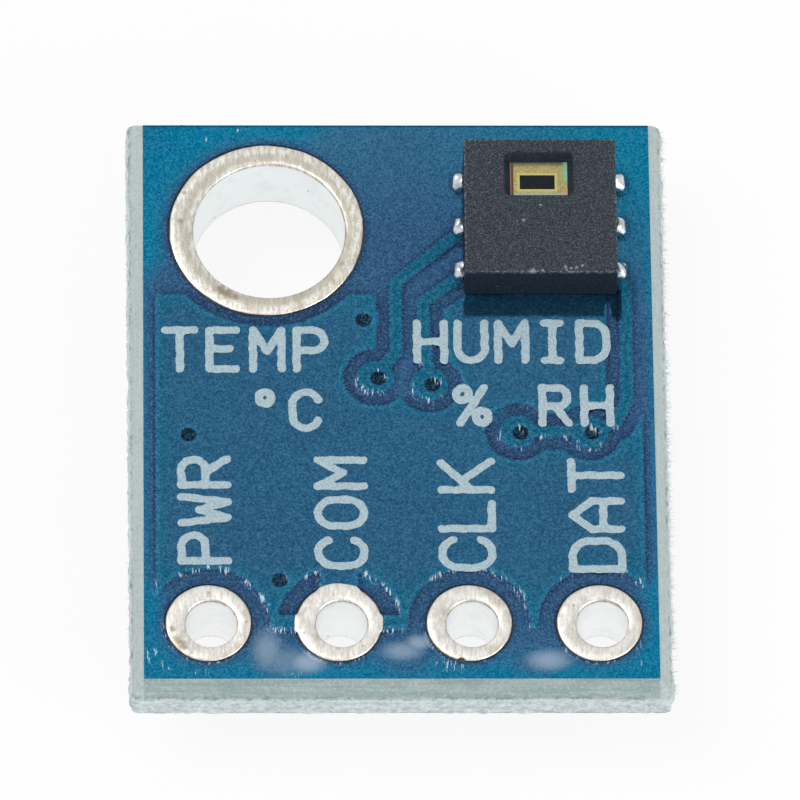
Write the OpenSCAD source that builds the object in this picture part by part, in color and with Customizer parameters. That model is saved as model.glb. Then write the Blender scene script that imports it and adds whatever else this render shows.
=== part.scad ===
// A small circuit board that measures temperature and humidity. Its front carries a
// windowed sensor chip. Its back carries a voltage regulator, two level shifters,
// three capacitors and four resistors. X runs along the pin row, Y away from the pin
// row and Z out of the front face. The board lies on the flat tops of the regulator
// and the level shifters, at z = 0, and x = y = 0 is the middle of the board.

/* [Board] */
// Width of the board's two faces, along the pin row
board_w = 10.04; // [9.8:0.02:11]
// Length of the board's two faces, away from the pin row
board_l = 12.34; // [12:0.02:13.6]
// Thickness of the glass-fibre laminate
laminate_t = 1.43; // [1.1:0.01:2]
// Depth of the V-shaped score that was cut into each face
score_depth = 0.48; // [0.2:0.01:0.54]
// How far the snapped web of the score stands out past the faces
score_side = 0.28; // [0.1:0.01:0.4]
// Thickness of the copper on each face
copper_t = 0.035; // [0.018:0.001:0.07]
// Thickness of the solder mask
mask_t = 0.025; // [0.01:0.001:0.035]
// Bare ring that the solder mask leaves round a pad
mask_gap = 0.055; // [0.03:0.005:0.08]
// Thickness of the plating in the drilled holes
plating_t = 0.03; // [0.02:0.001:0.05]

/* [Pin row] */
// Distance between neighbouring pins
pin_pitch = 2.54; // [2.4:0.01:2.6]
// Diameter of a pin's pad
pin_pad_d = 1.67; // [1.5:0.01:1.75]
// Diameter of a pin's hole
pin_hole_d = 1.0; // [0.8:0.01:1.1]
// Distance from the front edge of the face to the pin row
pin_row_inset = 1.196; // [1.1:0.002:1.4]
// Distance from the middle of the board to the middle of the pin row
pin_row_shift = 0.047; // [-0.1:0.001:0.1]

/* [Mounting hole] */
// Diameter of the mounting hole
mount_hole_d = 3.0; // [2.6:0.02:3.2]
// Diameter of the plated ring round the mounting hole
mount_ring_d = 3.84; // [3.6:0.02:4]
// Distance from the left edge of the face to the ring's middle
mount_inset_x = 2.44; // [2.3:0.01:2.6]
// Distance from the back edge of the face to the ring's middle
mount_inset_y = 2.39; // [2.3:0.01:2.6]

/* [Copper] */
// Width of a track
track_w = 0.24; // [0.16:0.01:0.26]
// Diameter of a via's pad
via_pad_d = 0.72; // [0.6:0.01:0.74]
// Diameter of a via's hole
via_hole_d = 0.3; // [0.2:0.01:0.4]
// Gap between the ground pour and the other copper
pour_gap = 0.28; // [0.2:0.01:0.32]
// Gap between the front's ground pour and the mounting hole's ring
ring_gap = 0.26; // [0.2:0.01:0.3]
// Gap between the back's ground pour and the mounting hole's ring
back_ring_gap = 0.34; // [0.32:0.01:0.4]
// Gap between the ground pour and a pin's pad
pin_gap = 0.365; // [0.28:0.005:0.39]
// Distance from the edge of the face to the ground pour
pour_inset = 0.24; // [0.18:0.01:0.4]
// Width of the narrow spokes that join the ground pin to the pour
spoke_w = 0.32; // [0.2:0.01:0.5]
// Width of the wide spoke that joins the ground pin to the pour
wide_spoke_w = 0.72; // [0.4:0.01:0.9]

/* [Sensor chip] */
// Width of the sensor's body
sensor_w = 3.0; // [2.8:0.02:3.1]
// Length of the sensor's body
sensor_l = 3.0; // [2.9:0.02:3.2]
// Height of the sensor's body
sensor_h = 0.9; // [0.75:0.01:1.2]
// Distance from the right edge of the face to the sensor's middle
sensor_inset_x = 2.2; // [2.1:0.01:2.3]
// Distance from the back edge of the face to the sensor's middle
sensor_inset_y = 2.35; // [2.2:0.01:2.5]
// Distance between neighbouring leads of the sensor
sensor_pitch = 1.0; // [0.95:0.01:1.05]
// Length of a sensor lead under the body
sensor_lead_l = 0.42; // [0.3:0.01:0.5]
// Width of a sensor lead
sensor_lead_w = 0.36; // [0.3:0.01:0.42]
// Thickness of the sensor's lead frame
lead_frame_t = 0.2; // [0.15:0.01:0.25]
// Solder between the copper and the sensor
sensor_film = 0.04; // [0.03:0.005:0.06]
// How far the solder of a sensor lead stands out past the body
sensor_toe = 0.22; // [0.15:0.01:0.26]
// Height of the solder on the end of a sensor lead
sensor_toe_rise = 0.16; // [0.1:0.01:0.2]
// Width of the metal paddle under the sensor
paddle_w = 1.5; // [1.45:0.01:1.6]
// Length of the metal paddle under the sensor
paddle_l = 2.4; // [2.3:0.01:2.5]
// Width of the sensor's window at the top of the body
window_w = 1.4; // [1.2:0.01:1.45]
// Length of the sensor's window at the top of the body
window_l = 1.02; // [0.9:0.01:1.1]
// Distance from the middle of the sensor to the middle of its window
window_shift = 0.73; // [0.66:0.01:0.76]
// Depth of the sensor's window
window_depth = 0.225; // [0.15:0.005:0.3]
// How much each wall of the window leans in towards its floor
window_draft = 0.14; // [0.1:0.005:0.2]
// Radius of the window's corners at its floor
window_corner_r = 0.012; // [0.005:0.001:0.05]
// Margin of the sensor's die round the window's floor
die_margin = 0.08; // [0.04:0.01:0.12]
// Width of the dark film that takes up moisture
film_w = 0.69; // [0.5:0.01:0.8]
// Length of the dark film that takes up moisture
film_l = 0.31; // [0.2:0.01:0.4]
// Thickness of the film
film_t = 0.008; // [0.004:0.001:0.02]

/* [Three-lead packages] */
// Length of the body of a three-lead package
sot_l = 2.9; // [2.7:0.02:3]
// Width of the body of a three-lead package
sot_w = 1.3; // [1.2:0.01:1.36]
// Height of a three-lead package over its leads' feet
sot_h = 1.1; // [1:0.01:1.3]
// Gap between the board and the body of a three-lead package
sot_lift = 0.06; // [0.04:0.01:0.1]
// Lean of the body's walls, in degrees
sot_draft = 6; // [3:1:8]
// Distance from the middle lead to each lead of the pair
sot_pitch = 0.95; // [0.9:0.01:1]
// Width across the feet of the leads
sot_span = 2.4; // [2.3:0.01:2.5]
// Width of a lead
sot_lead_w = 0.42; // [0.35:0.01:0.5]
// Thickness of a lead
sot_lead_t = 0.12; // [0.09:0.01:0.15]
// Inside radius of a lead's bends
sot_bend_r = 0.06; // [0.04:0.01:0.08]
// Slope of a lead between its two bends, in degrees
sot_slope = 78; // [70:1:85]
// Solder between the copper and the parts on the back
back_film = 0.02; // [0.01:0.005:0.03]

/* [Capacitors] */
// Length of a capacitor
cap_l = 1.6; // [1.5:0.01:1.7]
// Width of a capacitor
cap_w = 0.8; // [0.7:0.01:0.85]
// Height of a capacitor
cap_h = 0.8; // [0.5:0.01:0.9]
// Length of a capacitor's metal ends
cap_end = 0.32; // [0.2:0.01:0.4]

/* [Resistors] */
// Length of a resistor
res_l = 1.0; // [0.95:0.01:1.05]
// Width of a resistor
res_w = 0.5; // [0.45:0.01:0.55]
// Height of a resistor
res_h = 0.35; // [0.3:0.01:0.4]
// Length of a resistor's metal ends
res_end = 0.22; // [0.15:0.01:0.28]
// Thickness of the metal ends of capacitors and resistors
end_t = 0.03; // [0.02:0.005:0.04]

/* [Hidden] */
$fn = 48;
eps = 0.01;

// Heights of the layers, from the rest plane up
back_copper_z = sot_h + back_film;
laminate_z = back_copper_z + copper_t;
front_copper_z = laminate_z + laminate_t;
sensor_z = front_copper_z + copper_t + sensor_film;

// Places that everything else is laid out from
pin_row_y = -board_l / 2 + pin_row_inset;
mount_at = [-board_w / 2 + mount_inset_x, board_l / 2 - mount_inset_y];
sensor_at = [board_w / 2 - sensor_inset_x, board_l / 2 - sensor_inset_y];
window_at = sensor_at + [-0.02, window_shift];
film_at = window_at + [-0.03, -0.08];

// The drill wandered a little from the pads
drill_shift = [0.055, -0.02];

// A point of the layout, counted from the middle of the pin row. The layout is drawn for
// a face of layout_w with layout_l beyond the pin row, and spreads out on a larger one.
layout_w = 10.04;
layout_l = 11.144;
function at(x, y) = [
    pin_row_shift + x * board_w / layout_w,
    pin_row_y + y * (board_l - pin_row_inset) / layout_l
];
function pin(k) = [pin_row_shift + pin_pitch * (k - 2.5), pin_row_y];

// Vias
bypass_ground_via = at(-0.78, 6.75);
edge_ground_via = at(-4.24, 4.18);
input_ground_via = at(-2.47, 0.96);
supply_via = at(-0.5, 5.44);
clock_via = at(0.56, 5.29);
data_via = at(3.69, 4.22);
far_data_via = at(2.28, 4.22);
ground_vias = [bypass_ground_via, edge_ground_via, input_ground_via];
signal_vias = [supply_via, clock_via, data_via, far_data_via];

// Corners between the back's tracks that are too small to hold copper
bare_corners = [
    at(1.75, 4.55), at(3.47, 4.87), at(-0.5, 4.5), at(-0.65, 4.78), at(-4.68, -0.8),
    at(4.64, -0.86), at(-0.56, 2.15), at(-0.08, 2.15)
];
bare_corner_d = 0.6;

// The corner beside the mounting hole, where the back has no copper and light shines
// through: a block beside the hole and a lower one that runs on above the hole
bare_block = [1.53, 2.51];
bare_block_top = 0.79;
bare_margin = 0.24;

// Middles of the parts on the back
regulator = at(-3.4, 3.92);
clock_shifter = at(0.65, 2.62);
data_shifter = at(2.95, 6.67);
input_capacitor = at(-3.2, 1.42);
output_capacitor = at(-1.4, 4.22);
bypass_capacitor = at(0.4, 7.57);
clock_sensor_resistor = at(0.65, 4.42);
clock_host_resistor = at(-0.65, 1.52);
data_sensor_resistor = at(1.85, 5.27);
data_host_resistor = at(2.7, 2.07);

// Each part with its name and its turn
THREE_LEADS = [
    ["regulator", regulator], ["clock_shifter", clock_shifter],
    ["data_shifter", data_shifter]
];
CAPACITORS = [
    ["input_capacitor", input_capacitor, 0], ["output_capacitor", output_capacitor, 90],
    ["bypass_capacitor", bypass_capacitor, 90]
];
RESISTORS = [
    ["clock_sensor_resistor", clock_sensor_resistor, 0],
    ["clock_host_resistor", clock_host_resistor, 0],
    ["data_sensor_resistor", data_sensor_resistor, 0],
    ["data_host_resistor", data_host_resistor, 90]
];

// Lands: how far the copper reaches past the metal that is soldered to it
land_side = 0.05;
land_toe = 0.24;
sot_foot = 0.4;
sot_land = [sot_lead_w + 0.18, sot_foot + land_toe + 0.1];
sot_land_y = sot_span / 2 + land_toe - sot_land.y / 2;
cap_land = [cap_end + land_toe + 0.14, cap_w + 2 * land_side];
cap_land_x = cap_l / 2 + land_toe - cap_land.x / 2;
res_land = [res_end + land_toe, res_w + 2 * land_side];
res_land_x = res_l / 2 + land_toe - res_land.x / 2;
sensor_land = [sensor_lead_l + sensor_toe + land_side, sensor_lead_w + 0.02];
sensor_land_x = sensor_w / 2 + sensor_toe - sensor_land.x / 2;

// Where a package's lands are: the two on its far side and the one on its near side
function left_land(p) = p + [-sot_pitch, sot_land_y];
function right_land(p) = p + [sot_pitch, sot_land_y];
function near_land(p) = p - [0, sot_land_y];
function turned(v, a) = [v.x * cos(a) - v.y * sin(a), v.x * sin(a) + v.y * cos(a)];
function cap_pad(p, turn, side) = p + turned([side * cap_land_x, 0], turn);
function res_pad(p, turn, side) = p + turned([side * res_land_x, 0], turn);
// Row 1 of the sensor's leads is the one farthest from the pin row
function sensor_pad(side, row) =
    sensor_at + [side * sensor_land_x, (2 - row) * sensor_pitch];

// Flat shapes that the copper layers are made of
module track(points, grow) {
    w = track_w + 2 * grow;
    for (p = points) translate(p) circle(d = w);
    for (i = [0:len(points) - 2]) {
        run = points[i + 1] - points[i];
        translate(points[i]) rotate(atan2(run.y, run.x)) translate([0, -w / 2])
            square([norm(run), w]);
    }
}

module land(p, size, grow, turn = 0) {
    translate(p) rotate(turn)
        square([size.x + 2 * grow, size.y + 2 * grow], center = true);
}

module disc(p, d, grow) {
    translate(p) circle(d = d + 2 * grow);
}

module pin_pads(pins, grow) {
    for (k = pins) disc(pin(k), pin_pad_d, grow);
}

module via_pads(vias, grow) {
    for (v = vias) disc(v, via_pad_d, grow);
}

module barrel_pads(grow) {
    pin_pads([1:4], grow);
    via_pads(concat(ground_vias, signal_vias), grow);
    disc(mount_at, mount_ring_d, grow);
}

// Copper of the front face
module supply_top(grow = 0) {
    start = sensor_pad(-1, 2);
    land(start, sensor_land, grow);
    track([
        start - [0.1, 0], start + [-0.33, -0.21], [supply_via.x + 0.42, start.y - 1.22],
        supply_via + [0.42, 0.6], supply_via
    ], grow);
}

module clock_top(grow = 0) {
    start = sensor_pad(-1, 3);
    rise = start.y - clock_via.y;
    land(start, sensor_land, grow);
    track([
        start - [0.15, 0], start + [-0.28, -0.14], clock_via + [-0.1, 0.74 * rise],
        clock_via + [-0.1, 0.48 * rise], clock_via
    ], grow);
}

module data_top(grow = 0) {
    start = sensor_pad(1, 3);
    land(start, sensor_land, grow);
    track([
        start + [0.1, 0], start + [0.3, -0.28], [start.x + 0.29, data_via.y + 0.7],
        data_via + [0.52, 0.22], data_via, far_data_via
    ], grow);
}

module spare_top(grow = 0) {
    for (side = [-1, 1]) land(sensor_pad(side, 1), sensor_land, grow);
}

// The ground of the front covers the board up to the sensor and reaches under it
module pour_top(grow = 0) {
    top = sensor_at.y - sensor_l / 2 + 0.02;
    bottom = pin_row_y - 0.11;
    width = board_w - 2 * pour_inset;
    difference() {
        union() {
            translate([-width / 2 - grow, bottom - grow])
                square([width + 2 * grow, top - bottom + 2 * grow]);
            land(sensor_at, [paddle_w, paddle_l], grow);
            translate(sensor_at - [paddle_w / 2 + grow, sensor_l / 2 + grow])
                square([paddle_w + 2 * grow, sensor_l / 2]);
        }
        supply_top(pour_gap - grow);
        clock_top(pour_gap - grow);
        data_top(pour_gap - grow);
        via_pads(signal_vias, pour_gap - grow);
        pin_pads([1:4], pin_gap - grow);
        disc(mount_at, mount_ring_d, ring_gap - grow);
    }
    side_spokes(grow);
    wide_spoke(grow);
    land(sensor_pad(1, 2), sensor_land, grow);
    track([sensor_at, sensor_pad(1, 2)], grow);
}

// The spokes let the ground pin be soldered before the pour takes up the heat
module side_spokes(grow) {
    reach = pin_pitch / 2;
    translate(pin(2) - [reach + grow, spoke_w / 2 + grow])
        square([2 * reach + 2 * grow, spoke_w + 2 * grow]);
}

module wide_spoke(grow) {
    translate(pin(2) - [wide_spoke_w / 2 + grow, 0])
        square([wide_spoke_w + 2 * grow, pin_pitch / 2 + grow]);
}

module copper_top(grow = 0) {
    supply_top(grow);
    clock_top(grow);
    data_top(grow);
    spare_top(grow);
    pour_top(grow);
    barrel_pads(grow);
}

// Copper of the back face
module input_bottom(grow = 0) {
    bus_y = clock_shifter.y - 0.05;
    first = cap_pad(input_capacitor, 0, -1);
    branch = res_pad(clock_host_resistor, 0, -1);
    last = res_pad(data_host_resistor, 90, 1);
    land(first, cap_land, grow);
    land(near_land(regulator), sot_land, grow);
    land(branch, res_land, grow);
    land(last, res_land, grow, 90);
    track([pin(1), first, [first.x, bus_y + 0.1], near_land(regulator)], grow);
    track([near_land(regulator), [near_land(regulator).x + 0.4, bus_y], [last.x, bus_y]],
          grow);
    track([[branch.x, bus_y], branch], grow);
    track([[last.x, bus_y], last], grow);
}

module supply_bottom(grow = 0) {
    smooth = cap_pad(output_capacitor, 90, 1);
    pull = res_pad(clock_sensor_resistor, 0, -1);
    bypass = cap_pad(bypass_capacitor, 90, -1);
    pull_data = res_pad(data_sensor_resistor, 0, -1);
    gate = left_land(data_shifter);
    bend_y = clock_via.y + 0.7;
    for (p = [right_land(regulator), left_land(clock_shifter), gate])
        land(p, sot_land, grow);
    land(smooth, cap_land, grow, 90);
    land(bypass, cap_land, grow, 90);
    land(pull, res_land, grow);
    land(pull_data, res_land, grow);
    track([right_land(regulator), smooth, supply_via], grow);
    track([supply_via, [supply_via.x + 0.35, pull.y + 0.3], pull, left_land(clock_shifter)],
          grow);
    track([supply_via, [supply_via.x + 0.5, bend_y], [bypass.x, bend_y],
           [pull_data.x - 0.25, bend_y], pull_data], grow);
    track([[bypass.x, bend_y], bypass], grow);
    track([[pull_data.x - 0.25, bend_y], [pull_data.x - 0.15, bend_y + 0.2],
           [pull_data.x - 0.15, gate.y - 0.4], gate], grow);
}

module clock_sensor_bottom(grow = 0) {
    pull = res_pad(clock_sensor_resistor, 0, 1);
    land(pull, res_land, grow);
    land(right_land(clock_shifter), sot_land, grow);
    track([clock_via, pull + [-0.2, 0.3], pull, right_land(clock_shifter)], grow);
}

module clock_host_bottom(grow = 0) {
    pull = res_pad(clock_host_resistor, 0, 1);
    land(pull, res_land, grow);
    land(near_land(clock_shifter), sot_land, grow);
    track([pin(3), near_land(clock_shifter)], grow);
    track([pull, [near_land(clock_shifter).x, pull.y]], grow);
}

module data_sensor_bottom(grow = 0) {
    pull = res_pad(data_sensor_resistor, 0, 1);
    land(pull, res_land, grow);
    land(right_land(data_shifter), sot_land, grow);
    track([far_data_via, pull], grow);
    track([data_via, [right_land(data_shifter).x, data_via.y + 0.34],
           right_land(data_shifter)], grow);
}

module data_host_bottom(grow = 0) {
    pull = res_pad(data_host_resistor, 90, -1);
    drain = near_land(data_shifter);
    run_x = (data_via.x + far_data_via.x) / 2;
    land(pull, res_land, grow, 90);
    land(drain, sot_land, grow);
    track([drain, [run_x, drain.y - 0.4], [run_x, data_via.y - 0.62],
           [run_x + 0.47, data_via.y - 1.12], [run_x + 0.47, pull.y - 0.6], pin(4)], grow);
    track([pull, [run_x + 0.47, pull.y - 0.6]], grow);
}

module pour_bottom(grow = 0) {
    difference() {
        square([board_w - 2 * pour_inset + 2 * grow, board_l - 2 * pour_inset + 2 * grow],
               center = true);
        input_bottom(pour_gap - grow);
        supply_bottom(pour_gap - grow);
        clock_sensor_bottom(pour_gap - grow);
        clock_host_bottom(pour_gap - grow);
        data_sensor_bottom(pour_gap - grow);
        data_host_bottom(pour_gap - grow);
        via_pads(signal_vias, pour_gap - grow);
        pin_pads([1:4], pin_gap - grow);
        disc(mount_at, mount_ring_d, back_ring_gap - grow);
        for (p = bare_corners) disc(p, bare_corner_d, -grow);
        bare_corner_beside_hole(grow);
    }
    side_spokes(grow);
}

module bare_corner_beside_hole(grow) {
    corner = [-board_w / 2 - bare_margin, board_l / 2 + bare_margin];
    translate(corner - [0, bare_block.y - grow]) square(bare_block - [grow, grow]);
    translate([corner.x, corner.y - bare_block_top + grow])
        square([mount_at.x - corner.x, bare_block_top]);
}

module ground_lands(grow) {
    land(left_land(regulator), sot_land, grow);
    land(cap_pad(input_capacitor, 0, 1), cap_land, grow);
    land(cap_pad(output_capacitor, 90, -1), cap_land, grow, 90);
    land(cap_pad(bypass_capacitor, 90, 1), cap_land, grow, 90);
}

module copper_bottom(grow = 0) {
    input_bottom(grow);
    supply_bottom(grow);
    clock_sensor_bottom(grow);
    clock_host_bottom(grow);
    data_sensor_bottom(grow);
    data_host_bottom(grow);
    pour_bottom(grow);
    ground_lands(grow);
    barrel_pads(grow);
}

// Openings of the solder mask
module pad_openings() {
    pin_pads([1:4], mask_gap);
    disc(mount_at, mount_ring_d, mask_gap);
}

module openings_top() {
    pad_openings();
    for (side = [-1, 1], row = [1:3]) land(sensor_pad(side, row), sensor_land, mask_gap);
    land(sensor_at, [paddle_w, paddle_l], mask_gap);
}

module openings_bottom() {
    pad_openings();
    for (part = THREE_LEADS) {
        land(left_land(part[1]), sot_land, mask_gap);
        land(right_land(part[1]), sot_land, mask_gap);
        land(near_land(part[1]), sot_land, mask_gap);
    }
    for (part = CAPACITORS, side = [-1, 1])
        land(cap_pad(part[1], part[2], side), cap_land, mask_gap, part[2]);
    for (part = RESISTORS, side = [-1, 1])
        land(res_pad(part[1], part[2], side), res_land, mask_gap, part[2]);
}

// Board
module scored_profile(width) {
    side = score_side;
    polygon([
        [-width / 2, 0], [width / 2, 0],
        [width / 2 + side, score_depth], [width / 2 + side, laminate_t - score_depth],
        [width / 2, laminate_t], [-width / 2, laminate_t],
        [-width / 2 - side, laminate_t - score_depth], [-width / 2 - side, score_depth]
    ]);
}

module laminate() {
    long = 2 * (board_w + board_l);
    color("#c3cbb4") difference() {
        translate([0, 0, laminate_z]) intersection() {
            rotate([90, 0, 0]) linear_extrude(long, center = true) scored_profile(board_w);
            rotate([90, 0, 90]) linear_extrude(long, center = true) scored_profile(board_l);
        }
        drillings(plating_t);
    }
}

// All the drilled holes, grown by the plating where they cut the laminate
module drillings(grow) {
    holes(pin_points(), pin_hole_d, grow);
    holes([mount_at], mount_hole_d, grow);
    holes(concat(ground_vias, signal_vias), via_hole_d, grow);
}

function pin_points() = [for (k = [1:4]) pin(k)];

module holes(points, d, grow) {
    for (p = points) translate([p.x + drill_shift.x, p.y + drill_shift.y, 0])
        cylinder(d = d + 2 * grow, h = 2 * front_copper_z);
}

module mask_sheet(z, up) {
    color("#1f6f9c") translate([0, 0, z]) mirror([0, 0, up ? 0 : 1]) difference() {
        union() {
            linear_extrude(mask_t) square([board_w, board_l], center = true);
            linear_extrude(copper_t + mask_t) children(0);
        }
        translate([0, 0, -eps]) linear_extrude(copper_t + eps) children(1);
        translate([0, 0, -eps]) linear_extrude(copper_t + mask_t + 2 * eps) children(2);
    }
}

module top_solder_mask() {
    mask_sheet(front_copper_z, true) {
        copper_top(mask_t);
        copper_top();
        openings_top();
    }
}

module bottom_solder_mask() {
    mask_sheet(laminate_z, false) {
        copper_bottom(mask_t);
        copper_bottom();
        openings_bottom();
    }
}

// A copper shape of one face, without the pads of the plated holes
module copper_layer(top) {
    color("#b87333") translate([0, 0, top ? front_copper_z : back_copper_z])
        linear_extrude(copper_t) difference() {
            children();
            barrel_pads(0);
        }
}

// A plated hole: its wall, and its ring of copper on each face
module barrel(p, pad_d, hole_d) {
    difference() {
        union() {
            for (z = [back_copper_z, front_copper_z])
                translate([p.x, p.y, z]) cylinder(d = pad_d, h = copper_t);
            translate([p.x + drill_shift.x, p.y + drill_shift.y, back_copper_z])
                cylinder(d = hole_d + 2 * plating_t, h = laminate_t + 2 * copper_t);
        }
        holes([p], hole_d, 0);
    }
}

module pin_barrel(k) {
    color("#d5d0c8") barrel(pin(k), pin_pad_d, pin_hole_d);
}

module via_barrels(vias) {
    color("#b87333") for (v = vias) barrel(v, via_pad_d, via_hole_d);
}

// Sensor
module on_sensor(z = 0) {
    translate([sensor_at.x, sensor_at.y, sensor_z + z]) children();
}

// A pocket with leaning walls and round corners, from its rim down to its floor
module window_pocket() {
    x = window_w / 2 - window_draft - window_corner_r;
    y = window_l / 2 - window_draft - window_corner_r;
    rim_r = window_corner_r + window_draft;
    translate([window_at.x, window_at.y, sensor_z + sensor_h - window_depth]) {
        for (side = [-1, 1], end = [-1, 1]) translate([side * x, end * y, 0])
            cylinder(r1 = window_corner_r, r2 = rim_r, h = window_depth);
        rotate([90, 0, 0]) linear_extrude(2 * y, center = true)
            leaning_section(x + window_corner_r, x + rim_r);
        rotate([90, 0, 90]) linear_extrude(2 * x, center = true)
            leaning_section(y + window_corner_r, y + rim_r);
    }
}

module leaning_section(floor_half, rim_half) {
    polygon([
        [-floor_half, 0], [floor_half, 0],
        [rim_half, window_depth], [-rim_half, window_depth]
    ]);
}

module sensor_body() {
    color("#3b3b40") difference() {
        on_sensor() translate([-sensor_w / 2, -sensor_l / 2, 0])
            cube([sensor_w, sensor_l, sensor_h]);
        window_pocket();
        die_block();
        paddle_block();
        lead_blocks();
    }
}

// The die reaches from the paddle up to the window's floor
module die_block() {
    size = [
        window_w - 2 * window_draft + 2 * die_margin,
        window_l - 2 * window_draft + 2 * die_margin,
        sensor_h - window_depth - lead_frame_t
    ];
    translate([window_at.x - size.x / 2, window_at.y - size.y / 2,
               sensor_z + lead_frame_t]) cube(size);
}

module paddle_block() {
    on_sensor() translate([-paddle_w / 2, -paddle_l / 2, 0])
        cube([paddle_w, paddle_l, lead_frame_t]);
}

module lead_blocks() {
    for (side = [-1, 1], row = [-1:1])
        on_sensor() translate([side * (sensor_w - sensor_lead_l) / 2, row * sensor_pitch,
                               lead_frame_t / 2])
            cube([sensor_lead_l, sensor_lead_w, lead_frame_t], center = true);
}

module sensor_die() {
    color("#c9a95a") die_block();
}

module humidity_film() {
    color("#17151a") translate([film_at.x - film_w / 2, film_at.y - film_l / 2,
                                sensor_z + sensor_h - window_depth])
        cube([film_w, film_l, film_t]);
}

module sensor_paddle() {
    color("#c9c6bf") paddle_block();
}

module sensor_leads() {
    color("#c9c6bf") lead_blocks();
}

// Solder along a land: a film under the metal and a hollow fillet up its end. It runs
// along X, with the end of the metal at x = 0 and the top of the copper at z = 0.
module solder_joint(under, toe, w, film, rise) {
    lip = toe / 12;
    r = min(toe, rise) - lip;
    rotate([90, 0, 0]) linear_extrude(w, center = true) difference() {
        union() {
            translate([-under, 0]) square([under + toe, film]);
            square([toe, film + rise]);
        }
        translate([toe, film + rise]) circle(r = r);
        translate([lip + r, film + lip]) square([toe, film + rise]);
        translate([lip, film + lip + r]) square([toe, film + rise]);
    }
}

module sensor_solder() {
    color("#dfe0e0") {
        for (side = [-1, 1], row = [1:3])
            translate([sensor_at.x, sensor_pad(side, row).y, front_copper_z + copper_t])
                mirror([side < 0 ? 1 : 0, 0, 0]) translate([sensor_w / 2, 0, 0])
                    solder_joint(sensor_lead_l, sensor_toe, sensor_lead_w, sensor_film,
                                 sensor_toe_rise);
        translate([sensor_at.x, sensor_at.y, front_copper_z + copper_t + sensor_film / 2])
            cube([paddle_w, paddle_l, sensor_film], center = true);
    }
}

// Parts on the back hang from its copper, with their seats towards the board
module hang(p, turn = 0) {
    translate([p.x, p.y, sot_h]) mirror([0, 0, 1]) rotate(turn) children();
}

// A moulded body whose four walls lean in from the height of its leads
module drafted_profile(width) {
    middle = sot_h / 2;
    low = (middle - sot_lift) * tan(sot_draft);
    high = (sot_h - middle) * tan(sot_draft);
    polygon([
        [-width / 2 + low, sot_lift], [width / 2 - low, sot_lift], [width / 2, middle],
        [width / 2 - high, sot_h], [-width / 2 + high, sot_h], [-width / 2, middle]
    ]);
}

module three_lead_body(p) {
    color("#2b2b2e") hang(p) difference() {
        intersection() {
            rotate([90, 0, 0]) linear_extrude(2 * sot_span, center = true)
                drafted_profile(sot_l);
            rotate([90, 0, 90]) linear_extrude(2 * sot_l, center = true)
                drafted_profile(sot_w);
        }
        bent_leads();
    }
}

// A strip of metal drawn from its side, as straight runs that each end in a bend
module bent_strip(steps, i = 0) {
    run = steps[i][0];
    bend = steps[i][1];
    side = bend < 0 ? -1 : 1;
    mid_r = sot_bend_r + sot_lead_t / 2;
    translate([0, -sot_lead_t / 2]) square([run, sot_lead_t]);
    if (bend != 0) translate([run, 0]) {
        translate([0, side * mid_r]) intersection() {
            difference() {
                circle(r = mid_r + sot_lead_t / 2);
                circle(r = sot_bend_r);
            }
            bend_wedge(bend, 4 * mid_r);
        }
        translate([mid_r * sin(abs(bend)), side * mid_r * (1 - cos(bend))]) rotate(bend)
            bent_strip(steps, i + 1);
    }
}

module bend_wedge(bend, reach) {
    start = bend < 0 ? 90 : -90;
    polygon([
        [0, 0], reach * [cos(start), sin(start)],
        reach * [cos(start + bend), sin(start + bend)]
    ]);
}

// A lead leaves the body at half its height, drops to the board and turns out as a foot
module bent_lead() {
    stub = 0.25;
    out = 0.05;
    mid_r = sot_bend_r + sot_lead_t / 2;
    drop = (sot_h - sot_lead_t) / 2 - 2 * mid_r * (1 - cos(sot_slope));
    slope_run = drop / sin(sot_slope);
    foot = sot_span / 2 - sot_w / 2 - out - 2 * mid_r * sin(sot_slope)
        - slope_run * cos(sot_slope);
    rotate([90, 0, 90]) linear_extrude(sot_lead_w, center = true)
        translate([sot_w / 2 - stub, sot_h / 2])
            bent_strip([[stub + out, -sot_slope], [slope_run, sot_slope], [foot, 0]]);
}

module bent_leads() {
    for (x = [-sot_pitch, sot_pitch]) translate([x, 0, 0]) bent_lead();
    mirror([0, 1, 0]) bent_lead();
}

module three_lead_leads(p) {
    color("#c8c8c8") hang(p) bent_leads();
}

module three_lead_solder(p) {
    under = 0.2;
    color("#dfe0e0") hang(p) translate([0, 0, -back_film]) {
        for (x = [-sot_pitch, sot_pitch]) translate([x, sot_span / 2, 0]) rotate(90)
            solder_joint(under, land_toe - land_side, sot_lead_w, back_film,
                         0.8 * sot_lead_t);
        translate([0, -sot_span / 2, 0]) rotate(-90)
            solder_joint(under, land_toe - land_side, sot_lead_w, back_film,
                         0.8 * sot_lead_t);
    }
}

// A chip part: a ceramic block with a metal cap over each end
module block(size) {
    translate([-size.x / 2, -size.y / 2, 0]) cube(size);
}

module chip_core(size) {
    translate([0, 0, end_t])
        block([size.x - 2 * end_t, size.y - 2 * end_t, size.z - 2 * end_t]);
}

module chip_ends(size, end_l) {
    difference() {
        rounded_block(size, 1.5 * end_t);
        block([size.x - 2 * end_l, 2 * size.y, 2 * size.z]);
        chip_core(size);
    }
}

// A block whose edges are rounded along all three directions
module rounded_block(size, r) {
    translate([0, 0, size.z / 2]) intersection() {
        linear_extrude(size.z, center = true) rounded_rectangle([size.x, size.y], r);
        rotate([90, 0, 0]) linear_extrude(size.y, center = true)
            rounded_rectangle([size.x, size.z], r);
        rotate([90, 0, 90]) linear_extrude(size.x, center = true)
            rounded_rectangle([size.y, size.z], r);
    }
}

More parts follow.
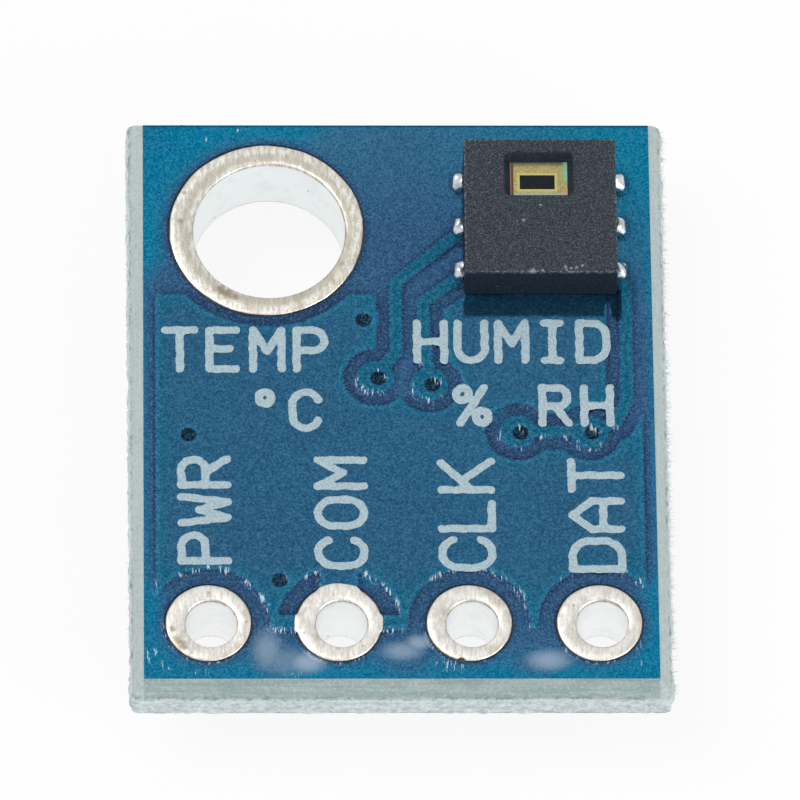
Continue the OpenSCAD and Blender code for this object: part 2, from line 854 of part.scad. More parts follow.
module rounded_rectangle(size, r) {
    square([size.x - 2 * r, size.y], center = true);
    square([size.x, size.y - 2 * r], center = true);
    for (x = [-1, 1], y = [-1, 1])
        translate([x * (size.x / 2 - r), y * (size.y / 2 - r)]) circle(r = r);
}

module chip_joints(size, end_l, rise) {
    for (turn = [0, 180]) rotate(turn) translate([size.x / 2, 0, -back_film])
        solder_joint(end_l, land_toe - land_side, size.y - 3 * end_t, back_film, rise);
}

cap_size = [cap_l, cap_w, cap_h];
res_size = [res_l, res_w, res_h];

module capacitor_solder() {
    color("#dfe0e0") for (part = CAPACITORS) hang(part[1], part[2])
        chip_joints(cap_size, cap_end, 0.4 * cap_h);
}

module resistor_solder() {
    color("#dfe0e0") for (part = RESISTORS) hang(part[1], part[2])
        chip_joints(res_size, res_end, 0.4 * res_h);
}

// The dark glaze over a resistor's element, between its two ends
module resistor_coats() {
    color("#1c1c20") for (part = RESISTORS) hang(part[1], part[2])
        translate([0, 0, res_h - end_t])
            block([res_l - 2 * res_end, res_w - 2 * end_t, end_t]);
}

laminate();
top_solder_mask();
bottom_solder_mask();

copper_layer(true) pour_top();  // ground_pour_top
copper_layer(true) supply_top();  // supply_track_top
copper_layer(true) clock_top();  // clock_track_top
copper_layer(true) data_top();  // data_track_top
copper_layer(true) spare_top();  // spare_lands_top

copper_layer(false) {  // ground_pour_bottom
    pour_bottom();
    ground_lands(0);
}
copper_layer(false) input_bottom();  // input_track_bottom
copper_layer(false) supply_bottom();  // supply_track_bottom
copper_layer(false) clock_sensor_bottom();  // clock_sensor_track_bottom
copper_layer(false) clock_host_bottom();  // clock_host_track_bottom
copper_layer(false) data_sensor_bottom();  // data_sensor_track_bottom
copper_layer(false) data_host_bottom();  // data_host_track_bottom

color("#cfc9bd") barrel(mount_at, mount_ring_d, mount_hole_d);  // mounting_hole_barrel
pin_barrel(1);  // input_pin_barrel
pin_barrel(2);  // ground_pin_barrel
pin_barrel(3);  // clock_pin_barrel
pin_barrel(4);  // data_pin_barrel
via_barrels(ground_vias);  // ground_via_barrels
via_barrels(signal_vias);  // signal_via_barrels

sensor_body();
sensor_die();
humidity_film();
sensor_paddle();
sensor_leads();
sensor_solder();

for (part = THREE_LEADS) {
    three_lead_body(part[1]);
    three_lead_leads(part[1]);
    three_lead_solder(part[1]);
}
for (part = CAPACITORS) {
    color("#b89a72") hang(part[1], part[2]) chip_core(cap_size);
    color("#d8d8d6") hang(part[1], part[2]) chip_ends(cap_size, cap_end);
}
capacitor_solder();
for (part = RESISTORS) {
    color("#e9e8e2") hang(part[1], part[2]) chip_core(res_size);
    color("#d8d8d6") hang(part[1], part[2]) chip_ends(res_size, res_end);
}
resistor_coats();
resistor_solder();
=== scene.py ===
"""The looks of the temperature and humidity sensor module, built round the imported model."""
import math

import bmesh
import bpy
import numpy as np
from mathutils import Matrix, Vector, noise


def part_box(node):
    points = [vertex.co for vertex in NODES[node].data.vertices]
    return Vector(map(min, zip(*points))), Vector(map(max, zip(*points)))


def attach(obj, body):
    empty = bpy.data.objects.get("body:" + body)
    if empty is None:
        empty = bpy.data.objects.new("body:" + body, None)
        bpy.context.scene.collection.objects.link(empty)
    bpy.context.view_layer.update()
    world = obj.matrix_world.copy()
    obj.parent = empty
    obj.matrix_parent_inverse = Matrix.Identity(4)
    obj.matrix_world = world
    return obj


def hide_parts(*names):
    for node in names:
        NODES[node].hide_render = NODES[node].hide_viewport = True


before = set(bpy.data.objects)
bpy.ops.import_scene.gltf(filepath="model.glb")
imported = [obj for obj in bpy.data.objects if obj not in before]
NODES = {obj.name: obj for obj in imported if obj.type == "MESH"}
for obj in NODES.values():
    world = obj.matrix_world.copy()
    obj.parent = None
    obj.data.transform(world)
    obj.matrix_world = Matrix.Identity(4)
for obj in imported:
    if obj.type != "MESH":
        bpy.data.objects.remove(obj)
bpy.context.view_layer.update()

MM = 0.001


def box_mm(node):
    """Lowest and highest corner of a CAD node, in mm."""
    lo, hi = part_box(node)
    return np.array(lo) / MM, np.array(hi) / MM


# Sizes and places in mm, from the CAD nodes where they carry them
BOARD_LO, BOARD_HI = box_mm("top_solder_mask")
LAMINATE_LO, LAMINATE_HI = box_mm("laminate")
FACE_Z = LAMINATE_HI[2]
BACK_Z = LAMINATE_LO[2]
COPPER_Z = box_mm("clock_track_top")[1][2]
BACK_COPPER_Z = box_mm("input_track_bottom")[0][2]
MASK_T = BOARD_HI[2] - COPPER_Z
CHIP_LO, CHIP_HI = box_mm("sensor_body")
CHIP_X = (CHIP_LO[0] + CHIP_HI[0]) / 2
CHIP_Y = (CHIP_LO[1] + CHIP_HI[1]) / 2
PINS = ["input_pin_barrel", "ground_pin_barrel", "clock_pin_barrel", "data_pin_barrel"]
RING = "mounting_hole_barrel"
DRILL = np.array([0.055, -0.02])
PIN_HOLE_R = 0.5
RING_HOLE_R = 1.5
MASK_GAP = 0.028
VIA_HOLE_R = 0.15
PAD_STAINS = [((-4.47, -5.10, COPPER_Z), 0.09), ((-4.40, -5.37, COPPER_Z), 0.14),
              ((-4.27, -5.52, COPPER_Z), 0.12), ((-4.12, -5.64, COPPER_Z), 0.09),
              ((-3.75, -4.37, COPPER_Z), 0.07)]
RING_STAINS = [((-3.50, 2.42, COPPER_Z), 0.10), ((-3.36, 2.33, COPPER_Z), 0.13),
               ((-3.20, 2.26, COPPER_Z), 0.08), ((-4.29, 3.97, COPPER_Z), 0.07),
               ((-4.20, 4.62, COPPER_Z), 0.06), ((-1.08, 3.02, COPPER_Z), 0.06)]
GROUND_VIAS = [(-0.733, 1.776), (-4.193, -0.794), (-2.423, -4.014)]
SIGNAL_VIAS = [(-0.453, 0.466), (0.607, 0.316), (3.737, -0.754), (2.327, -0.754)]
LEAD_ROWS = [CHIP_Y + 1.0, CHIP_Y, CHIP_Y - 1.0]


# Small helpers

def srgb(r, g, b):
    """A colour as 0-255 sRGB, made linear."""
    out = []
    for v in (r, g, b):
        v /= 255
        out.append(v / 12.92 if v <= 0.04045 else ((v + 0.055) / 1.055) ** 2.4)
    return (*out, 1.0)


def add_object(name, verts, faces, mats, smooth=True):
    """A mesh object from points in mm, riding on the part's one body."""
    mesh = bpy.data.meshes.new(name)
    mesh.from_pydata((np.asarray(verts, float) * MM).tolist(), [], faces)
    for mat in mats if isinstance(mats, (list, tuple)) else [mats]:
        mesh.materials.append(mat)
    mesh.shade_smooth() if smooth else mesh.shade_flat()
    mesh.update()
    obj = bpy.data.objects.new(name, mesh)
    bpy.context.scene.collection.objects.link(obj)
    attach(obj, "root")
    return obj


def fractal(p, scale, octaves=3):
    """Noise from -1 to 1 at a point in mm."""
    return noise.fractal(Vector(p) * scale, 0.7, 2.0, octaves)


def smoothstep(lo, hi, x):
    t = np.clip((x - lo) / (hi - lo), 0, 1)
    return t * t * (3 - 2 * t)


# Materials

class Look:
    """A Principled material, with short calls that add nodes to it."""

    def __init__(self, name, color, rough=0.5, metal=0.0, **sockets):
        self.mat = bpy.data.materials.new(name)
        self.mat.use_nodes = True
        self.tree = self.mat.node_tree
        self.shader = self.tree.nodes["Principled BSDF"]
        self.set(**{"Base Color": color, "Roughness": rough, "Metallic": metal}, **sockets)
        where = self.tree.nodes.new("ShaderNodeTexCoord").outputs["Object"]
        self.mm = self.math_v("MULTIPLY", where, (1000, 1000, 1000))

    def plug(self, socket, value):
        if isinstance(value, bpy.types.NodeSocket):
            self.tree.links.new(value, socket)
        else:
            socket.default_value = value

    def set(self, **values):
        for name, value in values.items():
            self.plug(self.shader.inputs[name], value)

    def math_v(self, operation, a, b):
        node = self.tree.nodes.new("ShaderNodeVectorMath")
        node.operation = operation
        self.plug(node.inputs[0], a)
        self.plug(node.inputs[1], b)
        return node.outputs[0]

    def math(self, operation, a, b=0.0, c=0.0):
        node = self.tree.nodes.new("ShaderNodeMath")
        node.operation = operation
        for socket, value in zip(node.inputs, (a, b, c)):
            self.plug(socket, value)
        return node.outputs[0]

    def noise(self, scale, detail=2.0, stretch=(1, 1, 1), shift=0.0, rough=0.5):
        """Noise with about `scale` lumps to the mm."""
        node = self.tree.nodes.new("ShaderNodeTexNoise")
        where = self.math_v("MULTIPLY", self.mm, stretch)
        self.plug(node.inputs["Vector"], self.math_v("ADD", where, (shift, shift, shift)))
        node.inputs["Scale"].default_value = scale
        node.inputs["Detail"].default_value = detail
        node.inputs["Roughness"].default_value = rough
        return node.outputs["Fac"]

    def cells(self, scale, feature="F1", stretch=(1, 1, 1)):
        node = self.tree.nodes.new("ShaderNodeTexVoronoi")
        node.feature = feature
        self.plug(node.inputs["Vector"], self.math_v("MULTIPLY", self.mm, stretch))
        node.inputs["Scale"].default_value = scale
        return node.outputs["Distance"]

    def range(self, value, lo, hi, out_lo=0.0, out_hi=1.0):
        node = self.tree.nodes.new("ShaderNodeMapRange")
        node.interpolation_type = "SMOOTHSTEP"
        for socket, v in zip(node.inputs, (value, lo, hi, out_lo, out_hi)):
            self.plug(socket, v)
        return node.outputs[0]

    def mix(self, factor, a, b, blend="MIX"):
        node = self.tree.nodes.new("ShaderNodeMix")
        node.data_type = "RGBA"
        node.blend_type = blend
        for index, value in ((0, factor), (6, a), (7, b)):
            self.plug(node.inputs[index], value)
        return node.outputs[2]

    def attribute(self, name):
        node = self.tree.nodes.new("ShaderNodeAttribute")
        node.attribute_name = name
        return node

    def axis(self, which):
        node = self.tree.nodes.new("ShaderNodeSeparateXYZ")
        self.plug(node.inputs[0], self.mm)
        return node.outputs["XYZ".index(which)]

    def away(self, point):
        """Distance from a point, in mm."""
        node = self.tree.nodes.new("ShaderNodeVectorMath")
        node.operation = "DISTANCE"
        self.plug(node.inputs[0], self.mm)
        self.plug(node.inputs[1], point)
        return node.outputs["Value"]

    def flat_away(self, x, y):
        """Distance in mm from an upright line through x, y."""
        node = self.tree.nodes.new("ShaderNodeVectorMath")
        node.operation = "DISTANCE"
        self.plug(node.inputs[0], self.math_v("MULTIPLY", self.mm, (1, 1, 0)))
        self.plug(node.inputs[1], (x, y, 0))
        return node.outputs["Value"]

    def near(self, point, radius, fray):
        """1 within about `radius` mm of a point, with an edge that the noise frays."""
        away = self.math("ADD", self.away(point), self.math("MULTIPLY", fray, 2 * radius))
        return self.range(away, 2.4 * radius, 1.2 * radius)

    def bump(self, height, depth, strength=1.0):
        """Bumps `depth` mm deep."""
        node = self.tree.nodes.new("ShaderNodeBump")
        node.inputs["Strength"].default_value = strength
        node.inputs["Distance"].default_value = depth * MM
        self.plug(node.inputs["Height"], height)
        self.set(Normal=node.outputs[0])


MASK_GRAZING = srgb(120, 170, 205)


def mask_look():
    """Blue solder mask. Copper, tracks and bare board show through it differently. Painted
    light: the bare board glows cyan where no copper backs it, and more towards both ends
    and the upper right corner, for light shining through the board. Painted shade marks
    the copper's edges and the vias, and painted highlights streak slopes by pads and vias."""
    look = Look("blue_solder_mask", srgb(46, 96, 128), 0.08, 0.80,
                **{"Specular IOR Level": 0.1, "Specular Tint": MASK_GRAZING})
    tone = look.attribute("tone")
    split = look.tree.nodes.new("ShaderNodeSeparateColor")
    look.plug(split.inputs[0], tone.outputs["Color"])
    copper, trace, under = split.outputs
    edge = tone.outputs["Alpha"]
    y = look.axis("Y")
    # Painted light: where copper backs it, the bare board is lighter towards both ends, cyan
    # at the upper right corner, and darker where copper crowds round
    backed = look.mix(look.range(y, 3.4, 6.0), srgb(58, 98, 140), srgb(58, 114, 152))
    backed = look.mix(look.range(y, -4.9, -6.0), backed, srgb(54, 112, 152))
    corner = look.away((BOARD_HI[0], BOARD_HI[1], FACE_Z))
    backed = look.mix(look.range(corner, 5.0, 0.4), backed, srgb(2, 132, 168))
    crowd = look.attribute("crowd").outputs["Fac"]
    backed = look.mix(crowd, backed, srgb(52, 76, 112))
    # Painted light: cyan where no copper backs the board, for light shining through it
    bare = look.mix(under, srgb(0, 130, 170), backed)
    pour = look.mix(look.attribute("rim").outputs["Fac"], srgb(48, 103, 140),
                    srgb(26, 110, 142))
    copper_color = look.mix(trace, pour, srgb(18, 102, 132))
    color = look.mix(copper, bare, copper_color)
    # Painted shade: a dark line along the copper's edges, where the mask slopes
    color = look.mix(look.math("MULTIPLY", edge, 0.9), color, srgb(20, 38, 78))
    dull = look.attribute("steep").outputs["Fac"]
    for via_x, via_y in GROUND_VIAS + SIGNAL_VIAS:
        # Painted shade: each via's hole shows as a dark disc with a lighter middle
        away = look.flat_away(via_x + DRILL[0], via_y + DRILL[1])
        via = look.range(away, 1.12 * VIA_HOLE_R, 0.92 * VIA_HOLE_R)
        color = look.mix(via, color, srgb(6, 20, 36))
        color = look.mix(look.range(away, 0.5 * VIA_HOLE_R, 0.2 * VIA_HOLE_R), color,
                         srgb(20, 52, 72))
        dull = look.math("MAXIMUM", dull, via)
    drift = look.range(look.noise(0.55, 2.0), 0.3, 0.7)
    color = look.mix(look.math("MULTIPLY", drift, 0.15), color, srgb(44, 88, 116))
    grain = look.noise(24.0, 3.0, rough=0.8)
    dark = look.range(grain, 0.5, 0.66)
    light = look.range(grain, 0.5, 0.34, 0.0, 0.40)
    color = look.mix(dark, color, (0.34, 0.48, 0.56, 1.0), "MULTIPLY")
    color = look.mix(light, color, srgb(108, 160, 190))
    rim = look.range(y, BOARD_HI[1] - 0.06, BOARD_HI[1] - 0.02, 0.0, 0.7)
    color = look.mix(rim, color, srgb(18, 62, 88))
    haze = look.attribute("haze").outputs["Fac"]
    color = look.mix(haze, color, srgb(160, 182, 204))
    # Painted highlights: pale streaks where the glint attribute is set
    streaks = look.noise(1.0, 2.0, stretch=(24, 5, 1), rough=0.6)
    glint = look.math("MULTIPLY", look.range(streaks, 0.57, 0.64),
                      look.attribute("glint").outputs["Fac"])
    color = look.mix(glint, color, srgb(214, 230, 240))
    look.set(**{"Base Color": color, "Roughness": look.range(dull, 0.0, 1.0, 0.08, 0.5),
                "Metallic": look.range(dull, 0.0, 1.0, 0.80, 0.2)})
    peel = look.math("ADD", look.noise(3.5, 2.0), look.math("MULTIPLY", grain, 0.2))
    look.bump(peel, 0.006, 0.4)
    return look.mat


def plain_mask_look(copper_level):
    """The same mask on the back, told apart by its height over or beside copper."""
    look = Look("blue_solder_mask_back", srgb(46, 96, 128), 0.08, 0.80,
                **{"Specular IOR Level": 0.1, "Specular Tint": MASK_GRAZING})
    over = look.range(look.axis("Z"), copper_level + 0.012, copper_level + 0.002)
    grain = look.noise(22.0, 3.0, rough=0.8)
    color = look.mix(over, srgb(48, 84, 124), srgb(44, 94, 130))
    color = look.mix(look.range(grain, 0.5, 0.68, 0.0, 0.8), color, srgb(6, 52, 88))
    color = look.mix(look.range(grain, 0.5, 0.32, 0.0, 0.36), color, srgb(108, 160, 190))
    look.set(**{"Base Color": color})
    peel = look.math("ADD", look.noise(3.5, 2.0), look.math("MULTIPLY", grain, 0.2))
    look.bump(peel, 0.008, 0.6)
    return look.mat


def tin_look(name, pale, dull, spots=(), band=None):
    """Tinned copper: pale, brushed one way, stained brown in places. A spot is the
    middle of a stain and its radius, and a band is a middle, two radii and a colour."""
    look = Look(name, pale, 0.42, 1.0)
    flecks = look.noise(1.0, 4.0, stretch=(13, 3.4, 3.4), rough=0.75)
    grain = look.noise(26.0, 2.0, rough=0.7)
    color = look.mix(look.range(flecks, 0.41, 0.59), dull, pale)
    color = look.mix(look.range(grain, 0.5, 0.7, 0.0, 0.5), color, dull)
    fray = look.noise(9.0, 3.0, rough=0.7)
    if band:
        middle, inner, outer, shade = band
        away = look.math("ADD", look.away(middle), look.math("MULTIPLY", fray, 0.12))
        width = outer - inner
        ring = look.math("MULTIPLY", look.range(away, inner, inner + 0.4 * width),
                         look.range(away, outer, outer - 0.4 * width))
        color = look.mix(look.math("MULTIPLY", ring, 0.6), color, shade)
    blotch = look.range(look.noise(1.9, 4.0, shift=7.0), 0.54, 0.72, 0.0, 0.5)
    color = look.mix(blotch, color, srgb(172, 156, 134))
    for point, radius in spots:
        color = look.mix(look.math("MULTIPLY", look.near(point, radius, fray), 0.7),
                         color, srgb(136, 120, 98))
    speck = look.range(look.cells(3.4), 0.10, 0.05, 0.0, 0.55)
    color = look.mix(speck, color, srgb(112, 98, 82))
    bright = look.range(flecks, 0.64, 0.70)
    look.set(**{"Base Color": look.mix(bright, color, srgb(250, 251, 250)),
                "Roughness": look.range(flecks, 0.3, 0.7, 0.48, 0.34)})
    look.bump(flecks, 0.010, 0.6)
    return look.mat


def hole_wall_look(name, color, rough=0.3):
    """The clean bright wall of a plated hole, with a few dark specks."""
    look = Look(name, color, rough, 1.0)
    cloud = look.noise(2.5, 3.0, rough=0.6)
    specks = look.range(look.cells(2.6), 0.085, 0.045, 0.0, 0.75)
    shade = look.mix(look.range(cloud, 0.45, 0.75, 0.0, 0.25), color, srgb(206, 212, 212))
    look.set(**{"Base Color": look.mix(specks, shade, srgb(128, 130, 134))})
    look.bump(cloud, 0.004, 0.4)
    return look.mat


def ink_look():
    """Pale ink of the printed words, thin enough in places for the mask to show."""
    look = Look("pale_ink", srgb(186, 199, 206), 0.55)
    worn = look.range(look.noise(9.0, 4.0, rough=0.7), 0.54, 0.70, 0.0, 0.55)
    fine = look.range(look.noise(24.0, 2.0), 0.35, 0.65)
    color = look.mix(fine, srgb(154, 178, 188), srgb(180, 199, 206))
    color = look.mix(worn, color, srgb(128, 158, 174))
    look.set(**{"Base Color": color})
    look.bump(look.noise(12.0, 3.0), 0.008)
    return look.mat


def mould_look(name, base, dust, grain_scale=29.0, scuffs=()):
    """Black moulding compound: matt, grainy, with a few pale specks of dust. Below the
    sensor's top it is darkened with painted shade and a painted blue reflection. A scuff
    is the middle of a pale mark and its radius."""
    look = Look(name, base, 0.62, **{"Specular IOR Level": 0.25})
    grain = look.noise(grain_scale, 3.0, rough=0.75)
    color = look.mix(look.range(grain, 0.5, 0.66, 0.0, 1.0), base, srgb(90, 96, 104))
    color = look.mix(look.range(grain, 0.5, 0.34, 0.0, 1.0), color, srgb(16, 20, 28))
    # Painted shade and a painted blue reflection: darker below the sensor's top
    sides = look.range(look.axis("Z"), CHIP_HI[2] - 0.01, CHIP_HI[2] - 0.07, 0.0, 0.7)
    color = look.mix(sides, color, srgb(8, 24, 38))
    specks = look.range(look.cells(3.2), 0.075, 0.03, 0.0, dust)
    color = look.mix(specks, color, srgb(150, 158, 164))
    fray = look.noise(14.0, 3.0, rough=0.8)
    for point, radius in scuffs:
        color = look.mix(look.math("MULTIPLY", look.near(point, radius, fray), 0.8),
                         color, srgb(150, 158, 166))
    if scuffs:
        rims = []
        for axis, lo, hi in (("X", CHIP_LO[0], CHIP_HI[0]), ("Y", CHIP_LO[1], CHIP_HI[1])):
            where = look.axis(axis)
            rims.append(look.range(where, lo + 0.045, lo + 0.01))
            rims.append(look.range(where, hi - 0.045, hi - 0.01))
        rim = rims[0]
        for other in rims[1:]:
            rim = look.math("MAXIMUM", rim, other)
        rim = look.math("MULTIPLY", rim, look.range(look.axis("Z"), CHIP_HI[2] - 0.09,
                                                    CHIP_HI[2] - 0.03))
        rim = look.math("MULTIPLY", rim, look.range(fray, 0.50, 0.62))
        color = look.mix(look.math("MULTIPLY", rim, 0.7), color, srgb(140, 148, 152))
    look.set(**{"Base Color": color})
    look.bump(grain, 0.014, 0.8)
    return look.mat


def die_look():
    """Gilded silicon: olive gold, with a pink strip and a bright frame round the film, as
    thin films show, a green corner that is a painted highlight, and painted shade across
    its far end."""
    look = Look("gilded_die", srgb(190, 176, 110), 0.34, 0.7)
    lo, hi = box_mm("sensor_die")
    film_lo, film_hi = box_mm("humidity_film")
    x, y = look.axis("X"), look.axis("Y")
    grain = look.noise(22.0, 3.0, rough=0.7)
    color = look.mix(look.range(grain, 0.35, 0.65), srgb(158, 146, 96), srgb(194, 184, 124))
    # Painted shade across the far end, under the pocket's wall
    top = look.range(y, hi[1] - 0.22, hi[1] - 0.06)
    color = look.mix(top, color, srgb(78, 82, 78))
    low = look.range(y, lo[1] + 0.16, lo[1] + 0.10)
    color = look.mix(low, color, srgb(168, 182, 162))
    sides = []
    for where, a, b in ((x, film_lo[0], film_hi[0]), (y, film_lo[1], film_hi[1])):
        middle = look.math("SUBTRACT", where, (a + b) / 2)
        sides.append(look.math("SUBTRACT", look.math("ABSOLUTE", middle), (b - a) / 2))
    from_film = look.math("MAXIMUM", *sides)
    color = look.mix(look.range(from_film, 0.07, 0.03, 0.0, 0.8), color,
                     srgb(214, 200, 122))
    pink = look.range(x, lo[0] + 0.13, lo[0] + 0.10)
    color = look.mix(pink, color, srgb(146, 106, 106))
    seam = look.math("MULTIPLY", look.range(x, lo[0] + 0.09, lo[0] + 0.11),
                     look.range(x, lo[0] + 0.15, lo[0] + 0.13))
    color = look.mix(seam, color, srgb(92, 74, 40))
    right = look.range(x, hi[0] - 0.20, hi[0] - 0.10)
    # Painted highlight: a green glint at the upper right
    green = look.math("MULTIPLY", right, look.range(y, lo[1] + 0.34, lo[1] + 0.42))
    color = look.mix(look.math("MULTIPLY", green, 0.85), color, srgb(128, 202, 166))
    warm = look.math("MULTIPLY", right, look.range(y, lo[1] + 0.26, lo[1] + 0.18))
    color = look.mix(look.math("MULTIPLY", warm, 0.8), color, srgb(204, 160, 122))
    look.set(**{"Base Color": color})
    look.bump(grain, 0.004)
    return look.mat


def film_look():
    look = Look("dark_film", srgb(14, 16, 22), 0.5, **{"Specular IOR Level": 0.15})
    edge = look.noise(9.0, 3.0)
    look.set(**{"Base Color": look.mix(edge, srgb(12, 14, 20), srgb(30, 34, 42))})
    look.bump(edge, 0.003)
    return look.mat


def laminate_look():
    """Sawn and snapped glass-fibre board: mottled, faintly layered, with a pale torn web
    that is darker where it begins."""
    look = Look("glass_fibre_board", srgb(172, 186, 184), 0.75)
    grain = look.noise(16.0, 3.0, rough=0.75)
    lines = look.noise(1.0, 4.0, stretch=(0.7, 0.7, 13), rough=0.6)
    patches = look.noise(1.5, 3.0, shift=3.0)
    color = look.mix(look.range(lines, 0.35, 0.65), srgb(148, 167, 166),
                     srgb(168, 185, 183))
    color = look.mix(look.range(patches, 0.48, 0.70, 0.0, 0.6), color, srgb(136, 156, 156))
    aside = look.range(look.math("ABSOLUTE", look.axis("X")), BOARD_HI[0] - 0.02,
                       BOARD_HI[0] + 0.03, 0.0, 0.5)
    color = look.mix(aside, color, srgb(210, 222, 221))
    web_value = look.attribute("web").outputs["Fac"]
    web = look.range(web_value, 0.3, 0.8)
    torn = look.noise(5.0, 4.0, stretch=(1, 1, 1.6), rough=0.7)
    pale = look.mix(look.range(torn, 0.35, 0.65), srgb(190, 204, 204), srgb(232, 240, 241))
    color = look.mix(web, color, pale)
    seam = look.math("MULTIPLY", look.range(web_value, 0.05, 0.35),
                     look.range(web_value, 1.0, 0.6))
    seam = look.math("MULTIPLY", seam, look.range(torn, 0.48, 0.60, 0.0, 0.8))
    color = look.mix(seam, color, srgb(118, 138, 142))
    color = look.mix(look.range(grain, 0.5, 0.7, 0.0, 0.45), color, srgb(132, 150, 152))
    color = look.mix(look.range(grain, 0.5, 0.3, 0.0, 0.45), color, srgb(212, 224, 222))
    look.set(**{"Base Color": color})
    height = look.math("ADD", look.math("MULTIPLY", grain, 0.5),
                       look.math("MULTIPLY", torn, web))
    look.bump(height, 0.03, 0.8)
    return look.mat


def plain_look(name, a, b, scale=6.0, rough=0.5, metal=0.0, depth=0.006, **sockets):
    """A surface of two near colours with fine bumps."""
    look = Look(name, a, rough, metal, **sockets)
    lumps = look.noise(scale, 4.0, rough=0.6)
    look.set(**{"Base Color": look.mix(look.range(lumps, 0.35, 0.65), a, b)})
    look.bump(lumps, depth)
    return look.mat


# Sheets: flat shapes with a relief, cut out of a grid

def cut_sheet(name, lo, hi, cell, distance, height, base, mat, light_floor=False):
    """A closed sheet over a grid. `distance` is negative inside its outline, and
    `height` gives its top. Grid points near the outline are moved onto it. The floor
    repeats the top's faces, or has as few as it can if it is to be light."""
    nx, ny = (max(1, round((hi[i] - lo[i]) / cell)) for i in (0, 1))
    xs, ys = np.linspace(lo[0], hi[0], nx + 1), np.linspace(lo[1], hi[1], ny + 1)
    p = np.stack(np.meshgrid(xs, ys), -1).reshape(-1, 2)
    d = distance(p)
    h = cell * 0.05
    grad = np.stack([distance(p + [h, 0]) - distance(p - [h, 0]),
                     distance(p + [0, h]) - distance(p - [0, h])], 1)
    length = np.linalg.norm(grad, axis=1, keepdims=True)
    grad = grad / np.maximum(length, 1e-9)
    near = (np.abs(d) < 0.5 * cell) & (length[:, 0] > h)
    p[near] -= (d[:, None] * grad)[near]
    p = np.clip(p, lo, hi)
    keep = (d < 0) | near
    index = np.arange(len(p)).reshape(ny + 1, nx + 1)
    cells = np.stack([index[:-1, :-1], index[:-1, 1:], index[1:, 1:], index[1:, :-1]], -1)
    cells = cells.reshape(-1, 4)
    inside = keep[cells]
    middle = distance(p[cells].mean(1)) < 0.1 * cell
    full = cells[(inside.sum(1) == 4) & middle]
    part = cells[inside.sum(1) == 3]
    gone = np.argmin(keep[part], 1)
    turn = (gone[:, None] + [1, 2, 3]) % 4
    part = np.take_along_axis(part, turn, 1)
    used = np.unique(np.concatenate([full.ravel(), part.ravel()]))
    order = np.full(len(p), -1)
    order[used] = np.arange(len(used))
    p = p[used]
    faces = [list(map(int, f)) for f in order[full]]
    faces += [list(map(int, f)) for f in order[part]]
    verts = np.column_stack([p, height(p)])
    if not light_floor:
        n = len(verts)
        low = verts.copy()
        low[:, 2] = base
        edges = {(f[k], f[(k + 1) % len(f)]) for f in faces for k in range(len(f))}
        rim = [(a, b) for a, b in sorted(edges) if (b, a) not in edges]
        faces += [[i + n for i in reversed(f)] for f in faces]
        faces += [[b, a, a + n, b + n] for a, b in rim]
        return add_object(name, np.vstack([verts, low]), faces, mat)

    # Walls down from the open edges, and a floor between them
    bm = bmesh.new()
    points = [bm.verts.new(v) for v in verts]
    for f in faces:
        bm.faces.new([points[i] for i in f])
    rim = [e for e in bm.edges if len(e.link_faces) == 1]
    walls = bmesh.ops.extrude_edge_only(bm, edges=rim)["geom"]
    down = [v for v in walls if isinstance(v, bmesh.types.BMVert)]
    for v in down:
        v.co.z = base
    low = [e for e in walls if isinstance(e, bmesh.types.BMEdge)]
    bmesh.ops.triangle_fill(bm, use_beauty=False, edges=low)
    bmesh.ops.recalc_face_normals(bm, faces=bm.faces)
    for v in bm.verts:
        v.co *= MM
    mesh = bpy.data.meshes.new(name)
    bm.to_mesh(mesh)
    bm.free()
    mesh.materials.append(mat)
    mesh.shade_smooth()
    obj = bpy.data.objects.new(name, mesh)
    bpy.context.scene.collection.objects.link(obj)
    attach(obj, "root")
    return obj


def circle_distance(p, centre, r):
    return np.hypot(p[:, 0] - centre[0], p[:, 1] - centre[1]) - r


def box_distance(p, centre, half):
    q = np.abs(p - centre) - half
    outside = np.hypot(np.maximum(q[:, 0], 0), np.maximum(q[:, 1], 0))
    return outside + np.minimum(np.maximum(q[:, 0], q[:, 1]), 0)


